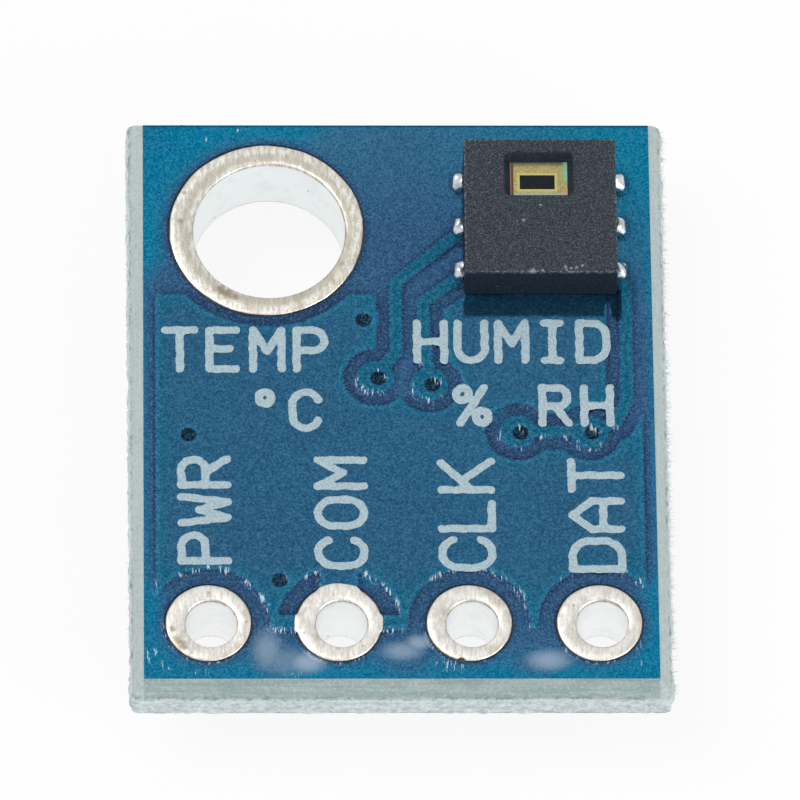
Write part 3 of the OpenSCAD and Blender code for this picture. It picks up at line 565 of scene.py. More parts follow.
class Raster:
    """A picture of which cells of the board's face some CAD nodes cover."""

    CELL = 0.02

    def __init__(self, names, level):
        self.lo = BOARD_LO[:2]
        size = BOARD_HI[:2] - self.lo
        self.shape = (round(size[1] / self.CELL), round(size[0] / self.CELL))
        self.grid = np.zeros(self.shape)
        for name in names:
            self.draw(NODES[name].data, level)

    def draw(self, mesh, level):
        mesh.calc_loop_triangles()
        co = np.empty(len(mesh.vertices) * 3)
        mesh.vertices.foreach_get("co", co)
        tri = np.empty(len(mesh.loop_triangles) * 3, int)
        mesh.loop_triangles.foreach_get("vertices", tri)
        p = co.reshape(-1, 3)[tri.reshape(-1, 3)] / MM
        for corners in p[np.abs(p[:, :, 2] - level).max(1) < 1e-3][:, :, :2]:
            lo = np.floor((corners.min(0) - self.lo) / self.CELL).astype(int).clip(0)
            hi = np.ceil((corners.max(0) - self.lo) / self.CELL).astype(int)
            hi = np.minimum(hi, self.shape[::-1])
            x = self.lo[0] + (np.arange(lo[0], hi[0]) + 0.5) * self.CELL
            y = self.lo[1] + (np.arange(lo[1], hi[1]) + 0.5) * self.CELL
            x, y = np.meshgrid(x, y)
            sides = []
            for a, b in ((0, 1), (1, 2), (2, 0)):
                run = corners[b] - corners[a]
                sides.append(run[0] * (y - corners[a][1]) - run[1] * (x - corners[a][0]))
            hit = (np.min(sides, 0) >= -1e-9) | (np.max(sides, 0) <= 1e-9)
            self.grid[lo[1]:hi[1], lo[0]:hi[0]][hit] = 1

    def blurred(self, width):
        """The same picture, softened over `width` mm, edges kept."""
        sigma = width / self.CELL
        reach = int(3 * sigma) + 1
        weights = np.exp(-0.5 * (np.arange(-reach, reach + 1) / sigma) ** 2)
        weights /= weights.sum()
        out = self.grid
        for axis in (0, 1):
            padded = np.pad(out, [(reach, reach) if axis == i else (0, 0)
                                  for i in (0, 1)], mode="edge")
            n = out.shape[axis]
            out = sum(w * np.take(padded, range(i, i + n), axis)
                      for i, w in enumerate(weights))
        return out

    def sample(self, grid, p):
        """Values of a picture at points in mm."""
        q = (p - self.lo) / self.CELL - 0.5
        q = np.clip(q, 0, np.array(self.shape[::-1]) - 1.001)
        i = q.astype(int)
        f = q - i
        x, y = i[:, 0], i[:, 1]
        fx, fy = f[:, 0], f[:, 1]
        return ((grid[y, x] * (1 - fx) + grid[y, x + 1] * fx) * (1 - fy)
                + (grid[y + 1, x] * (1 - fx) + grid[y + 1, x + 1] * fx) * fy)


# Solder mask of the front

LAND = np.array([0.69, 0.38])
LAND_X = 1.5 + 0.22 - LAND[0] / 2
PADDLE = np.array([1.5, 2.4])
# Smudges on the mask: middle, half sizes and strength
HAZE = [(-2.62, -5.55, 0.40, 0.62, 0.62), (-1.84, -5.83, 0.50, 0.32, 0.95),
        (-2.25, -5.80, 0.85, 0.42, 0.40), (0.0, -5.58, 0.55, 0.28, 0.70),
        (0.32, -5.40, 0.34, 0.24, 0.85), (2.85, -5.78, 0.60, 0.32, 0.80)]
# Scratched places, which take the painted highlight streaks in full: middle and half sizes
SCRATCH_GLINTS = [(-4.86, -5.66, 0.14, 0.22), (-4.55, -5.86, 0.16, 0.14),
             (-3.94, -6.04, 0.34, 0.08), (-2.06, -6.09, 0.16, 0.05),
             (-3.10, 6.06, 0.14, 0.05), (-3.72, 5.84, 0.08, 0.06),
             (0.95, -5.90, 0.40, 0.16), (4.62, -5.70, 0.05, 0.4)]
VIA_DIP = 0.045
SHEET_CELL = 0.042


def land_distance(p, grow):
    """Distance to the sensor's six lands, corners rounded, grown by `grow` mm."""
    round_r = 0.14
    half = LAND / 2 + grow - round_r
    shapes = [box_distance(p, (CHIP_X + side * LAND_X, y), half) - round_r
              for side in (-1, 1) for y in LEAD_ROWS]
    return np.min(shapes, 0)


def openings(p):
    """Distance to the mask's openings, positive inside them."""
    shapes = []
    for node in PINS + [RING]:
        lo, hi = box_mm(node)
        shapes.append(circle_distance(p, (lo[:2] + hi[:2]) / 2,
                                      (hi[0] - lo[0]) / 2 + MASK_GAP))
    shapes.append(land_distance(p, 0.004))
    shapes.append(box_distance(p, (CHIP_X, CHIP_Y), PADDLE / 2 + MASK_GAP))
    return -np.min(shapes, 0)


def solder_mask():
    tracks = ["supply_track_top", "clock_track_top", "data_track_top",
              "spare_lands_top", "signal_via_barrels"]
    vias = Raster(["ground_via_barrels"], COPPER_Z)
    trace = Raster(tracks, COPPER_Z)
    pour = Raster(["ground_pour_top"], COPPER_Z)
    pads = Raster(PINS + [RING], COPPER_Z)
    under = Raster([n for n in NODES if n.endswith("_bottom") and "mask" not in n]
                   + PINS + [RING, "ground_via_barrels", "signal_via_barrels"],
                   BACK_COPPER_Z)
    copper = Raster([], COPPER_Z)
    copper.grid = np.maximum.reduce([trace.grid, pour.grid, vias.grid, pads.grid])
    relief = 1 - np.clip(1 - copper.blurred(0.045), 0, 1) ** 2.4
    fine, wide = copper.blurred(0.02), copper.blurred(0.07)
    trace_map = trace.blurred(0.02)
    rim_map = 1 - smoothstep(0.5, 0.97, copper.blurred(0.26))
    slope_y, slope_x = np.gradient(copper.blurred(0.045), Raster.CELL)
    # Painted highlights go on relief slopes that face towards -x and -y
    glint_map = smoothstep(1.6, 5.0, 0.45 * slope_x + 0.9 * slope_y)
    under_map = smoothstep(0.02, 0.42, under.blurred(0.25))
    steep_map = smoothstep(0.5, 2.5, np.hypot(slope_x, slope_y))
    crowd_map = smoothstep(0.25, 0.62, copper.blurred(0.22))

    def height(p):
        z = FACE_Z + MASK_T + (COPPER_Z - FACE_Z) * copper.sample(relief, p)
        for x, y in GROUND_VIAS + SIGNAL_VIAS:
            r = circle_distance(p, DRILL + (x, y), 0)
            z = z - VIA_DIP * np.exp(-(r / (0.8 * VIA_HOLE_R)) ** 4)
        return np.maximum(z, FACE_Z + 0.004)

    obj = cut_sheet("front_solder_mask", BOARD_LO[:2], BOARD_HI[:2], SHEET_CELL, openings,
                    height, FACE_Z, mask_look(), light_floor=True)
    co = np.empty(len(obj.data.vertices) * 3)
    obj.data.vertices.foreach_get("co", co)
    p = co.reshape(-1, 3)[:, :2] / MM
    # Painted shade along the copper's edges, where the mask slopes
    edge = np.clip(3.2 * (copper.sample(wide, p) - copper.sample(fine, p)), 0, 1)
    tone = np.stack([copper.sample(fine, p), trace.sample(trace_map, p),
                     under.sample(under_map, p), edge], 1)
    layer = obj.data.color_attributes.new("tone", "FLOAT_COLOR", "POINT")
    layer.data.foreach_set("color", tone.ravel())
    haze = np.zeros(len(p))
    for x, y, rx, ry, strength in HAZE:
        r = np.hypot((p[:, 0] - x) / rx, (p[:, 1] - y) / ry)
        haze = np.maximum(haze, strength * smoothstep(1.0, 0.15, r))
    # Painted highlights near the pins and signal vias, and at the scratches
    zone = np.zeros(len(p))
    spots = [(*((box_mm(b)[0] + box_mm(b)[1])[:2] / 2), 1.5) for b in PINS]
    spots += [(x, y, 0.62) for x, y in SIGNAL_VIAS]
    for x, y, r in spots:
        zone = np.maximum(zone, smoothstep(r, 0.85 * r, circle_distance(p, (x, y), 0)))
    steep = copper.sample(steep_map, p)
    # The chip's mirror image stays sharp on the mask in front of it
    image = box_distance(p, (CHIP_X, CHIP_LO[1] - 0.3), np.array([1.6, 0.36]))
    steep *= smoothstep(0.0, 0.1, image)
    glint = 0.7 * zone * copper.sample(glint_map, p)
    for x, y, rx, ry in SCRATCH_GLINTS:
        r = np.hypot((p[:, 0] - x) / rx, (p[:, 1] - y) / ry)
        glint = np.maximum(glint, 0.85 * smoothstep(1.0, 0.6, r))
    for name, values in (("haze", haze), ("glint", glint),
                         ("crowd", copper.sample(crowd_map, p)),
                         ("rim", copper.sample(rim_map, p)),
                         ("steep", steep)):
        layer = obj.data.attributes.new(name, "FLOAT", "POINT")
        layer.data.foreach_set("value", values)
    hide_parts("top_solder_mask")


# Plated holes

def plated_hole(name, node, hole_r, crown, mats, spokes=()):
    """A ring on each face and the wall between them. The drill wandered, so the ring
    is wider on one side. A spoke is (angle, half its angle, how far it stands out)."""
    lo, hi = box_mm(node)
    centre = (lo[:2] + hi[:2]) / 2
    hole = centre + DRILL
    pad_r = (hi[0] - lo[0]) / 2
    wall = 0.03 / (pad_r - hole_r)
    top = [(0.0, FACE_Z), (0.0, COPPER_Z - 0.004), (0.02, COPPER_Z + 0.008)]
    for t in np.linspace(0.07, 0.93, 9):
        top.append((t, COPPER_Z + 0.008 + crown * math.sqrt(1 - (2 * t - 1) ** 2)))
    top += [(0.98, COPPER_Z - 0.004), (1.0, COPPER_Z - 0.04)]
    inner = [(1.0, z) for z in np.linspace(COPPER_Z - 0.2, BACK_COPPER_Z + 0.2, 5)]
    middle = (FACE_Z + BACK_Z) / 2
    bottom = [(t, 2 * middle - z) for t, z in reversed(top)]
    back = [(1 - wall, BACK_Z), (1 - wall, FACE_Z)]
    profile = top + inner + bottom + back
    count = 192 if pad_r > 1 else 128
    verts = []
    for k in range(count):
        a = 2 * math.pi * k / count
        ray = np.array([math.cos(a), math.sin(a)])
        out = pad_r
        for at, half, reach in spokes:
            off = abs((math.degrees(a) - at + 180) % 360 - 180)
            out += reach * float(smoothstep(half * 1.25, half * 0.8, off))
        ripple = 1 + 0.006 * fractal((*(ray * 3), 1.0), 1.3)
        for t, z in profile:
            p = (centre + ray * out * ripple) * (1 - t) + (hole + ray * hole_r) * t
            lump = 0.006 * fractal((p[0], p[1], z), 2.5) if 0.05 < t < 0.95 else 0
            verts.append((p[0], p[1], z + lump))
    n = len(profile)
    faces = []
    for k in range(count):
        m = (k + 1) % count
        for i in range(n):
            j = (i + 1) % n
            faces.append((k * n + i, m * n + i, m * n + j, k * n + j))
    obj = add_object(name, verts, faces, mats)
    wall = range(len(top) - 1, len(top) + len(inner))
    for face in obj.data.polygons:
        face.material_index = int(face.index % n in wall)
    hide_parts(node)
    return obj


# Board

SCORE_DEPTH = 0.48
WEB_SIDE = LAMINATE_HI[0] - BOARD_HI[0]
# How much further the web stands out at the upper left, and how round its corners are
LEFT_EXTRA = 0.06
WEB_CORNER_R = 0.14


def side_point(side, t, size, share):
    """A point of the board's outline, 0 to 1 along one side, with rounded corners."""
    corners = np.array([(-1, -1), (1, -1), (1, 1), (-1, 1), (-1, -1)]) * size
    p = corners[side] + (corners[side + 1] - corners[side]) * t
    r = WEB_CORNER_R * share
    past = np.abs(p) - (size - r)
    if r > 0 and past.min() > 0:
        p = np.sign(p) * (size - r + r * past / np.hypot(*past))
    across, along = (1 - p[0] / size[0]) / 2, (1 + p[1] / size[1]) / 2
    return p - np.array([LEFT_EXTRA * share * across * along, 0])


def laminate():
    """The board's glass-fibre core. Its four sides were scored from both faces and
    snapped, so a rough web stands out between two sloping bands."""
    half = BOARD_HI[:2]
    thick = FACE_Z - BACK_Z
    slope = np.linspace(0, 1, 6)
    levels = [(BACK_Z + SCORE_DEPTH * s, WEB_SIDE * s, 0.0) for s in slope]
    web = np.linspace(0, 1, 9)[1:-1]
    levels += [(BACK_Z + SCORE_DEPTH + (thick - 2 * SCORE_DEPTH) * s, WEB_SIDE, 1.0)
               for s in web]
    levels += [(FACE_Z - SCORE_DEPTH * s, WEB_SIDE * s, 0.0) for s in slope[::-1]]
    step = 0.07
    counts = [round(2 * half[0] / step), round(2 * half[1] / step)]
    outline = []
    for side in range(4):
        n = counts[side % 2]
        outline += [(side, k / n) for k in range(n)]
    verts, webs = [], []
    for z, out, is_web in levels:
        share = out / WEB_SIDE
        for side, t in outline:
            x, y = side_point(side, t, half + out, share)
            face = np.array([(0, -1), (1, 0), (0, 1), (-1, 0)][side])
            torn = fractal((x, y, z * 3), 1.9, 4) * 0.045 * share ** 4
            fine = fractal((x, y, z), 9.0, 2) * 0.018 * share ** 3
            x, y = (x, y) + face * (torn + fine - 0.02 * share ** 4)
            verts.append((x, y, z))
            webs.append(share ** 6 if not is_web else 1.0)
    n = len(outline)
    faces = []
    for i in range(len(levels) - 1):
        for k in range(n):
            m = (k + 1) % n
            faces.append((i * n + k, i * n + m, (i + 1) * n + m, (i + 1) * n + k))

    bm = bmesh.new()
    web_layer = bm.verts.layers.float.new("web")
    points = [bm.verts.new(v) for v in verts]
    for v, value in zip(points, webs):
        v[web_layer] = value
    for f in faces:
        bm.faces.new([points[i] for i in f])
    # Walls of the drilled holes, between the two faces
    holes = [(*((box_mm(b)[0] + box_mm(b)[1])[:2] / 2 + DRILL), PIN_HOLE_R + 0.03)
             for b in PINS]
    holes.append((*((box_mm(RING)[0] + box_mm(RING)[1])[:2] / 2 + DRILL),
                  RING_HOLE_R + 0.03))
    holes += [(x + DRILL[0], y + DRILL[1], VIA_HOLE_R + 0.03)
              for x, y in GROUND_VIAS + SIGNAL_VIAS]
    rims = {0: [], 1: []}
    first, last = points[:n], points[-n:]
    rims[0] += [bm.edges.get((first[k], first[(k + 1) % n])) for k in range(n)]
    rims[1] += [bm.edges.get((last[k], last[(k + 1) % n])) for k in range(n)]
    for x, y, r in holes:
        count = 96 if r > 1 else 48 if r > 0.3 else 24
        rings = []
        for z in (BACK_Z, FACE_Z):
            rings.append([bm.verts.new((x + r * math.cos(2 * math.pi * k / count),
                                        y + r * math.sin(2 * math.pi * k / count), z))
                          for k in range(count)])
        for k in range(count):
            m = (k + 1) % count
            bm.faces.new((rings[0][m], rings[0][k], rings[1][k], rings[1][m]))
        for i in (0, 1):
            rims[i] += [bm.edges.get((rings[i][k], rings[i][(k + 1) % count]))
                        for k in range(count)]
    caps = []
    for i in (0, 1):
        made = bmesh.ops.triangle_fill(bm, use_beauty=True, edges=rims[i])["geom"]
        caps += [f for f in made if isinstance(f, bmesh.types.BMFace)]
    for f in caps:
        f.material_index = 1
    bmesh.ops.recalc_face_normals(bm, faces=bm.faces)
    for v in bm.verts:
        v.co *= MM
    mesh = bpy.data.meshes.new("glass_fibre_core")
    bm.to_mesh(mesh)
    bm.free()
    # Dark faces of the board, which show as dark outlines in the mask's narrow gaps
    stained = plain_look("dark_board_face", srgb(66, 66, 60), srgb(92, 84, 66), 9.0, 0.6)
    mesh.materials.append(laminate_look())
    mesh.materials.append(stained)
    mesh.shade_smooth()
    obj = bpy.data.objects.new("glass_fibre_core", mesh)
    bpy.context.scene.collection.objects.link(obj)
    sharp = obj.modifiers.new("crisp_edges", "EDGE_SPLIT")
    sharp.split_angle = math.radians(28)
    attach(obj, "root")
    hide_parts("laminate")


# Torn fibres: side, how many, longest in mm
FIBRES = [(1, 800, 0.15), (3, 160, 0.08), (0, 200, 0.06), (2, 110, 0.06)]


def torn_fibres():
    """Fine glass fibres that stand out of the snapped web, most on the right."""
    rng = np.random.default_rng(11)
    faces_out = [(0, -1), (1, 0), (0, 1), (-1, 0)]
    verts, faces = [], []
    for side, count, longest in FIBRES:
        out = np.array([*faces_out[side], 0.0])
        for _ in range(count):
            x, y = side_point(side, rng.uniform(0.01, 0.99), BOARD_HI[:2] + WEB_SIDE, 1.0)
            z = rng.uniform(BACK_Z + SCORE_DEPTH, FACE_Z - SCORE_DEPTH)
            length = longest * rng.uniform(0.25, 1.0) ** 1.6
            lean = rng.normal(0, 0.6, 3)
            bend = rng.normal(0, 0.5, 3)
            r = rng.uniform(0.005, 0.010)
            start = np.array([x, y, z]) - out * 0.05
            first = len(verts)
            for t, width in ((0.0, 1.0), (0.5, 0.7), (1.0, 0.15)):
                way = out + lean * t * 0.6 + bend * t * t
                at = start + out * 0.05 * t + way / np.linalg.norm(way) * length * t
                u = np.cross(way, (0.3, 0.5, 0.8))
                u /= np.linalg.norm(u)
                v = np.cross(way, u)
                v /= np.linalg.norm(v)
                for k in range(3):
                    a = 2 * math.pi * k / 3
                    verts.append(at + r * width * (u * math.cos(a) + v * math.sin(a)))
            for ring in (0, 3):
                for k in range(3):
                    m = (k + 1) % 3
                    faces.append((first + ring + k, first + ring + m,
                                  first + ring + 3 + m, first + ring + 3 + k))
            faces.append((first + 2, first + 1, first))
            faces.append((first + 6, first + 7, first + 8))
    mat = plain_look("glass_fibre", srgb(206, 218, 216), srgb(232, 238, 236), 4.0, 0.5,
                     depth=0.002)
    add_object("torn_fibres", verts, faces, mat)


# Printed words

def arc(cx, cy, rx, ry, start, end, n=10):
    return [(cx + rx * math.cos(math.radians(start + (end - start) * k / n)),
             cy + ry * math.sin(math.radians(start + (end - start) * k / n)))
            for k in range(n + 1)]


# Each letter is drawn with strokes in a box 0.7 wide and 1 high
GLYPHS = {
    "T": [[(0, 1), (0.7, 1)], [(0.35, 1), (0.35, 0)]],
    "E": [[(0.66, 1), (0, 1), (0, 0), (0.66, 0)], [(0, 0.52), (0.5, 0.52)]],
    "M": [[(0, 0), (0, 1), (0.35, 0.45), (0.7, 1), (0.7, 0)]],
    "P": [[(0, 0), (0, 1), (0.42, 1)] + arc(0.42, 0.74, 0.26, 0.26, 90, -90)
          + [(0, 0.48)]],
    "H": [[(0, 0), (0, 1)], [(0.7, 0), (0.7, 1)], [(0, 0.5), (0.7, 0.5)]],
    "U": [[(0, 1), (0, 0.3)] + arc(0.35, 0.3, 0.35, 0.3, 180, 360) + [(0.7, 1)]],
    "I": [[(0.35, 0), (0.35, 1)], [(0.15, 1), (0.55, 1)], [(0.15, 0), (0.55, 0)]],
    "D": [[(0, 0), (0, 1), (0.34, 1)] + arc(0.34, 0.62, 0.36, 0.38, 90, 0)
          + arc(0.34, 0.38, 0.36, 0.38, 0, -90) + [(0, 0)]],
    "R": [[(0, 0), (0, 1), (0.42, 1)] + arc(0.42, 0.74, 0.26, 0.26, 90, -90)
          + [(0, 0.48)], [(0.34, 0.48), (0.7, 0)]],
    "C": [arc(0.36, 0.66, 0.34, 0.34, 20, 90) + arc(0.36, 0.66, 0.36, 0.34, 90, 180)
          + arc(0.36, 0.34, 0.36, 0.34, 180, 270) + arc(0.36, 0.34, 0.34, 0.34, 270, 340)],
    "W": [[(0, 1), (0.14, 0), (0.35, 0.62), (0.56, 0), (0.7, 1)]],
    "O": [arc(0.35, 0.65, 0.35, 0.35, 0, 180) + arc(0.35, 0.35, 0.35, 0.35, 180, 360)
          + [(0.7, 0.65)]],
    "L": [[(0, 1), (0, 0), (0.62, 0)]],
    "K": [[(0, 0), (0, 1)], [(0.66, 1), (0, 0.4)], [(0.22, 0.6), (0.7, 0)]],
    "A": [[(0, 0), (0, 0.6), (0.35, 1), (0.7, 0.6), (0.7, 0)], [(0, 0.36), (0.7, 0.36)]],
    "%": [[(0.02, 0), (0.68, 1)], arc(0.10, 0.82, 0.18, 0.18, 0, 360, 14),
          arc(0.62, 0.18, 0.18, 0.18, 0, 360, 14)],
    "*": [arc(0.16, 0.84, 0.17, 0.17, 0, 360, 14)],
}

# Words: text, lowest corner of the first letter's box, letter height, advance of each
# letter, turn in degrees. Places are in mm.
WORDS = [
    ("TEMP", (-4.58, 0.64), 0.87, 0.86, 0), ("*C", (-2.75, -0.68), 0.8, 0.66, 0),
    ("HUMID", (0.37, 0.84), 0.83, 0.80, 0), ("% RH", (1.18, -0.57), 0.79, 0.82, 0),
    ("PWR", (-3.38, -3.62), 0.9, 0.84, 90), ("COM", (-0.71, -3.73), 0.9, 0.88, 90),
    ("CLK", (1.79, -3.77), 0.98, 0.86, 90), ("DAT", (4.32, -3.80), 0.96, 0.88, 90),
]
STROKE = 0.165


def word_strokes(text, at, tall, advance, turn):
    c, s = math.cos(math.radians(turn)), math.sin(math.radians(turn))
    lines = []
    for k, letter in enumerate(text):
        for stroke in GLYPHS.get(letter, []):
            q = np.array(stroke) * [tall * 0.92, tall] + [k * advance, 0]
            lines.append(np.array([(at[0] + c * x - s * y, at[1] + s * x + c * y)
                                   for x, y in q]))
    return lines


def printed_words():
    mat = ink_look()
    pads = [((box_mm(b)[0] + box_mm(b)[1])[:2] / 2,
             (box_mm(b)[1] - box_mm(b)[0])[0] / 2 + MASK_GAP + 0.05) for b in PINS + [RING]]
    for number, word in enumerate(WORDS):
        lines = word_strokes(*word)
        starts = np.concatenate([line[:-1] for line in lines])
        runs = np.concatenate([np.diff(line, axis=0) for line in lines])
        every = np.concatenate(lines)

        def distance(p):
            best = np.full(len(p), 1e9)
            for a, run in zip(starts, runs):
                q = p - a
                t = np.clip((q @ run) / max(run @ run, 1e-12), 0, 1)
                best = np.minimum(best, np.hypot(*(q - t[:, None] * run).T))
            wobble = (np.sin(p[:, 0] * 17 + 3 * np.sin(p[:, 1] * 9)) * 0.006
                      + np.sin(p[:, 1] * 23 + 2 * np.sin(p[:, 0] * 13)) * 0.004
                      + np.sin(p[:, 0] * 71 + 4 * np.sin(p[:, 1] * 53)) * 0.002)
            d = best - STROKE / 2 + wobble
            for centre, r in pads:
                d = np.maximum(d, -circle_distance(p, centre, r))
            return d

        base = BOARD_HI[2] - 0.004
        lo, hi = every.min(0) - 0.16, every.max(0) + 0.16
        obj = cut_sheet(f"printed_word_{number + 1}", lo, hi, 0.022, distance,
                        lambda p: np.full(len(p), base + 0.016), base, mat)


# Sensor chip

def dressed(node, mat, bevel=0.0, segments=3, angle=30):
    """A CAD node with a better material and rounded edges."""
    obj = NODES[node]
    obj.data.materials.clear()
    obj.data.materials.append(mat)
    if bevel:
        weld = obj.modifiers.new("weld", "WELD")
        weld.merge_threshold = 1e-7
        round_off = obj.modifiers.new("rounded_edges", "BEVEL")
        round_off.width = bevel * MM
        round_off.segments = segments
        round_off.limit_method = "ANGLE"
        round_off.angle_limit = math.radians(angle)
        round_off.harden_normals = False
    return obj


LAND_RIM = 0.016
SOLDER_RISE = 0.24
SCUFFS = [((2.64, 2.33, CHIP_HI[2]), 0.075), ((2.84, 2.36, CHIP_HI[2]), 0.03),
          ((3.29, 2.44, CHIP_HI[2]), 0.035), ((3.31, 2.37, CHIP_HI[2]), 0.03),
          ((3.40, 2.41, CHIP_HI[2]), 0.03), ((3.51, 2.43, CHIP_HI[2]), 0.035),
          ((3.62, 2.47, CHIP_HI[2]), 0.03), ((2.48, 3.49, CHIP_HI[2]), 0.035),
          ((2.82, 3.83, CHIP_HI[2]), 0.03)]


def sensor_joints():
    """Solder that covers each lead's land and rises against the body, and the thin layer
    under the paddle."""
    body_half = (CHIP_HI[0] - CHIP_LO[0]) / 2
    reach = LAND_X + LAND[0] / 2 + LAND_RIM - body_half
    side = LAND[1] / 2 + LAND_RIM

    def distance(p):
        paddle = box_distance(p, (CHIP_X, CHIP_Y), PADDLE / 2 + LAND_RIM)
        return np.minimum(paddle, land_distance(p, LAND_RIM))

    def height(p):
        out = np.abs(p[:, 0] - CHIP_X) - body_half
        row = np.min([np.abs(p[:, 1] - y) for y in LEAD_ROWS], 0)
        along = np.clip(1 - np.clip(out / reach, 0, 1) ** 2, 0, 1)
        across = np.clip(1 - (row / side) ** 2, 0, 1)
        lump = 1 + 0.10 * np.sin(p[:, 0] * 19 + 2 * np.sin(p[:, 1] * 11))
        rise = SOLDER_RISE * np.sqrt(along * across) * lump
        return COPPER_Z + 0.036 + np.where(out > 0.004, rise, 0)

    solder = plain_look("bright_solder", srgb(226, 230, 234), srgb(186, 192, 198), 7.0, 0.24,
                        1.0, 0.006)
    reach_out = np.array([LAND_X + LAND[0] / 2, LEAD_ROWS[0] - CHIP_Y + LAND[1] / 2]) + 0.03
    middle = np.array([CHIP_X, CHIP_Y])
    obj = cut_sheet("sensor_joints", middle - reach_out, middle + reach_out, 0.02, distance,
                    height, FACE_Z, solder)
    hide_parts("sensor_solder")


def sensor():
    mould = mould_look("sensor_mould", srgb(46, 54, 63), 0.5, scuffs=SCUFFS)
    dressed("sensor_body", mould, 0.03)
    dressed("sensor_die", die_look())
    dressed("humidity_film", film_look())
    lead = plain_look("lead_metal", srgb(206, 204, 198), srgb(180, 178, 172), 8.0, 0.35,
                      1.0, 0.004)
    dressed("sensor_paddle", lead)
    dressed("sensor_leads", lead)
    sensor_joints()


# Parts on the back

def back_parts():
    mould = mould_look("package_mould", srgb(40, 42, 46), 0.2, 16.0)
    lead = plain_look("tinned_lead", srgb(205, 205, 202), srgb(176, 176, 172), 9.0, 0.35,
                      1.0, 0.004)
    solder = plain_look("solder", srgb(214, 216, 218), srgb(186, 188, 190), 6.0, 0.28, 1.0,
                        0.006)
    ceramic = plain_look("capacitor_ceramic", srgb(186, 152, 108), srgb(164, 128, 86),
                         14.0, 0.55)
    alumina = plain_look("alumina", srgb(232, 231, 225), srgb(214, 212, 204), 14.0, 0.6)
    ends = plain_look("chip_end", srgb(214, 214, 211), srgb(184, 183, 178), 9.0, 0.4, 1.0,
                      0.006)
    glaze = plain_look("glaze", srgb(28, 28, 32), srgb(42, 42, 46), 10.0, 0.3)
    for part in ("regulator", "clock_shifter", "data_shifter"):
        dressed(part + "_body", mould, 0.03)
        dressed(part + "_leads", lead, 0.012, 2, 50)
        dressed(part + "_solder", solder, 0.01, 2, 50)
    for part in ("input", "output", "bypass"):
        dressed(part + "_capacitor_body", ceramic, 0.02, 2)
        dressed(part + "_capacitor_ends", ends)
    for part in ("clock_sensor", "clock_host", "data_sensor", "data_host"):
        dressed(part + "_resistor_body", alumina, 0.008, 2)
        dressed(part + "_resistor_ends", ends)
    dressed("capacitor_solder", solder, 0.01, 2, 50)
    dressed("resistor_solder", solder, 0.008, 2, 50)
    dressed("resistor_coats", glaze, 0.006, 2)
    # Copper shows only in the mask's openings, and there it is tinned
    copper = plain_look("tinned_land", srgb(216, 215, 210), srgb(188, 186, 180), 9.0, 0.4,
                        1.0, 0.004)
    for node in NODES:
        if "_track_" in node or "_pour_" in node or node.endswith("_via_barrels"):
            dressed(node, copper)
    dressed("spare_lands_top", copper)
    dressed("bottom_solder_mask", plain_mask_look(box_mm("bottom_solder_mask")[0][2]))


# Stage

def seen_white(tree, shader, share):
    """Shows white to the camera and to reflections, whatever light falls there."""
    path = tree.nodes.new("ShaderNodeLightPath")
    total = path.outputs["Is Camera Ray"]
    for ray in ("Is Glossy Ray", "Is Transmission Ray"):
        add = tree.nodes.new("ShaderNodeMath")
        add.operation = "ADD"
        add.use_clamp = True
        tree.links.new(total, add.inputs[0])
        tree.links.new(path.outputs[ray], add.inputs[1])
        total = add.outputs[0]
    part = tree.nodes.new("ShaderNodeMath")
    part.operation = "MULTIPLY"
    tree.links.new(total, part.inputs[0])
    part.inputs[1].default_value = share
    white = tree.nodes.new("ShaderNodeEmission" if share < 1 else "ShaderNodeBackground")
    white.inputs["Strength"].default_value = 1.0
    mix = tree.nodes.new("ShaderNodeMixShader")
    tree.links.new(part.outputs[0], mix.inputs[0])
    tree.links.new(shader, mix.inputs[1])
    tree.links.new(white.outputs[0], mix.inputs[2])
    return mix.outputs[0]


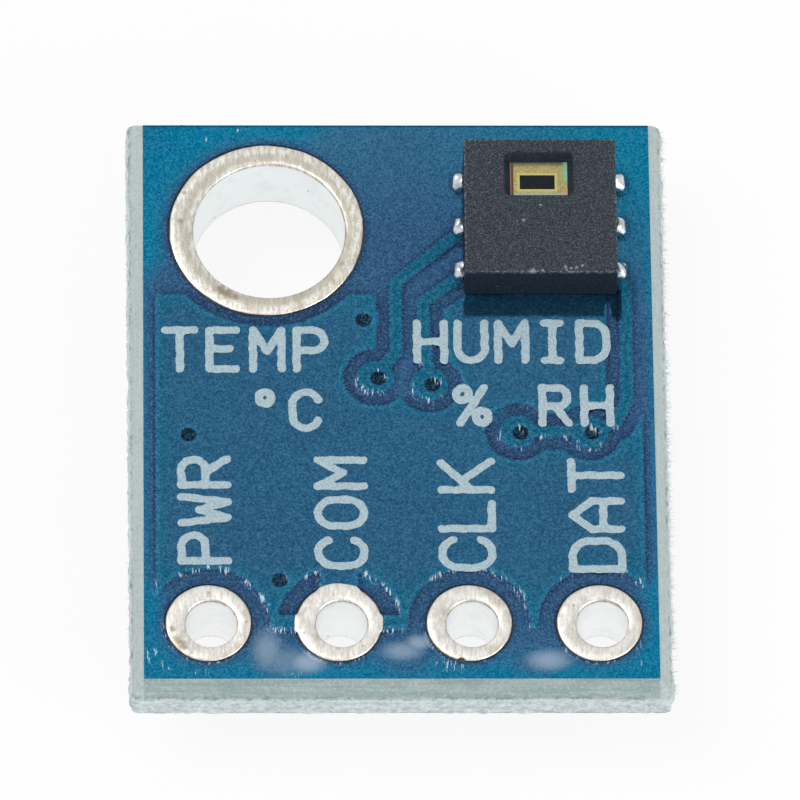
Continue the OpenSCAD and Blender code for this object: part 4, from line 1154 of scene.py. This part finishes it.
def stage():
    mesh = bpy.data.meshes.new("floor")
    r = 0.6
    mesh.from_pydata([(-r, -r, 0), (r, -r, 0), (r, r, 0), (-r, r, 0)], [], [(0, 1, 2, 3)])
    floor = bpy.data.objects.new("floor", mesh)
    bpy.context.scene.collection.objects.link(floor)
    mat = bpy.data.materials.new("pale_floor")
    mat.use_nodes = True
    tree = mat.node_tree
    shader = tree.nodes["Principled BSDF"]
    shader.inputs["Base Color"].default_value = (0.9, 0.9, 0.9, 1)
    shader.inputs["Roughness"].default_value = 0.9
    shader.inputs["Specular IOR Level"].default_value = 0.0
    out = tree.nodes["Material Output"]
    tree.links.new(seen_white(tree, shader.outputs[0], 0.9), out.inputs["Surface"])
    mesh.materials.append(mat)

    world = bpy.data.worlds.new("studio")
    bpy.context.scene.world = world
    world.use_nodes = True
    tree = world.node_tree
    ambient = tree.nodes["Background"]
    ambient.inputs["Color"].default_value = (1, 1, 1, 1)
    ambient.inputs["Strength"].default_value = 0.50
    out = tree.nodes["World Output"]
    tree.links.new(seen_white(tree, ambient.outputs[0], 1.0), out.inputs["Surface"])

    for name, where, size, power in (
            ("key", (-0.22, 0.04, 0.37), 0.26, 0.78),
            ("fill", (0.28, -0.22, 0.20), 0.26, 0.65),
            ("spark", (-0.08, -0.10, 0.36), 0.02, 0.012)):
        light = bpy.data.lights.new(name, "AREA")
        light.size = size
        light.energy = power
        obj = bpy.data.objects.new(name, light)
        obj.location = where
        obj.rotation_euler = (-Vector(where)).to_track_quat("-Z", "Y").to_euler()
        bpy.context.scene.collection.objects.link(obj)


def camera():
    """The camera that a fit to the photograph gave."""
    data = bpy.data.cameras.new("camera")
    data.sensor_width = 36
    data.lens = 598.86
    data.clip_start = 0.01
    data.clip_end = 10
    cam = bpy.data.objects.new("camera", data)
    right = Vector((0.9997, -0.0111, 0.0209)).normalized()
    back = -Vector((0.0237, 0.4748, -0.8798)).normalized()
    up = back.cross(right).normalized()
    right = up.cross(back)
    turn = Matrix((right, up, back)).transposed().to_4x4()
    cam.matrix_world = Matrix.Translation(Vector((-6.1754, -124.2024, 232.70)) * MM) @ turn
    bpy.context.scene.collection.objects.link(cam)
    bpy.context.scene.camera = cam
    bpy.context.scene.view_settings.view_transform = "Standard"


camera()
stage()
solder_mask()
laminate()
pin_mats = [tin_look("tinned_pin_pads", srgb(242, 241, 236), srgb(212, 208, 199),
                     PAD_STAINS),
            hole_wall_look("pin_hole_wall", srgb(250, 252, 252))]
ring_lo, ring_hi = box_mm(RING)
ring_middle = (*((ring_lo + ring_hi)[:2] / 2), COPPER_Z)
ring_band = (ring_middle, RING_HOLE_R + 0.06, RING_HOLE_R + 0.34, srgb(176, 170, 154))
ring_mats = [tin_look("tinned_mounting_ring", srgb(246, 244, 236), srgb(200, 196, 184),
                      RING_STAINS, ring_band),
             hole_wall_look("mounting_hole_wall", srgb(240, 245, 245))]
PAD_SHAPES = {"ground": [(0, 12, 0.05), (180, 12, 0.07), (90, 27, 0.06)],
              "clock": [(-102, 4, -0.05)]}
for pin in PINS:
    spokes = PAD_SHAPES.get(pin.split("_")[0], [])
    plated_hole(pin.replace("_barrel", "_pad"), pin, PIN_HOLE_R, 0.03, pin_mats, spokes)
plated_hole("mounting_ring", RING, RING_HOLE_R, 0.022, ring_mats)
torn_fibres()
printed_words()
sensor()
back_parts()
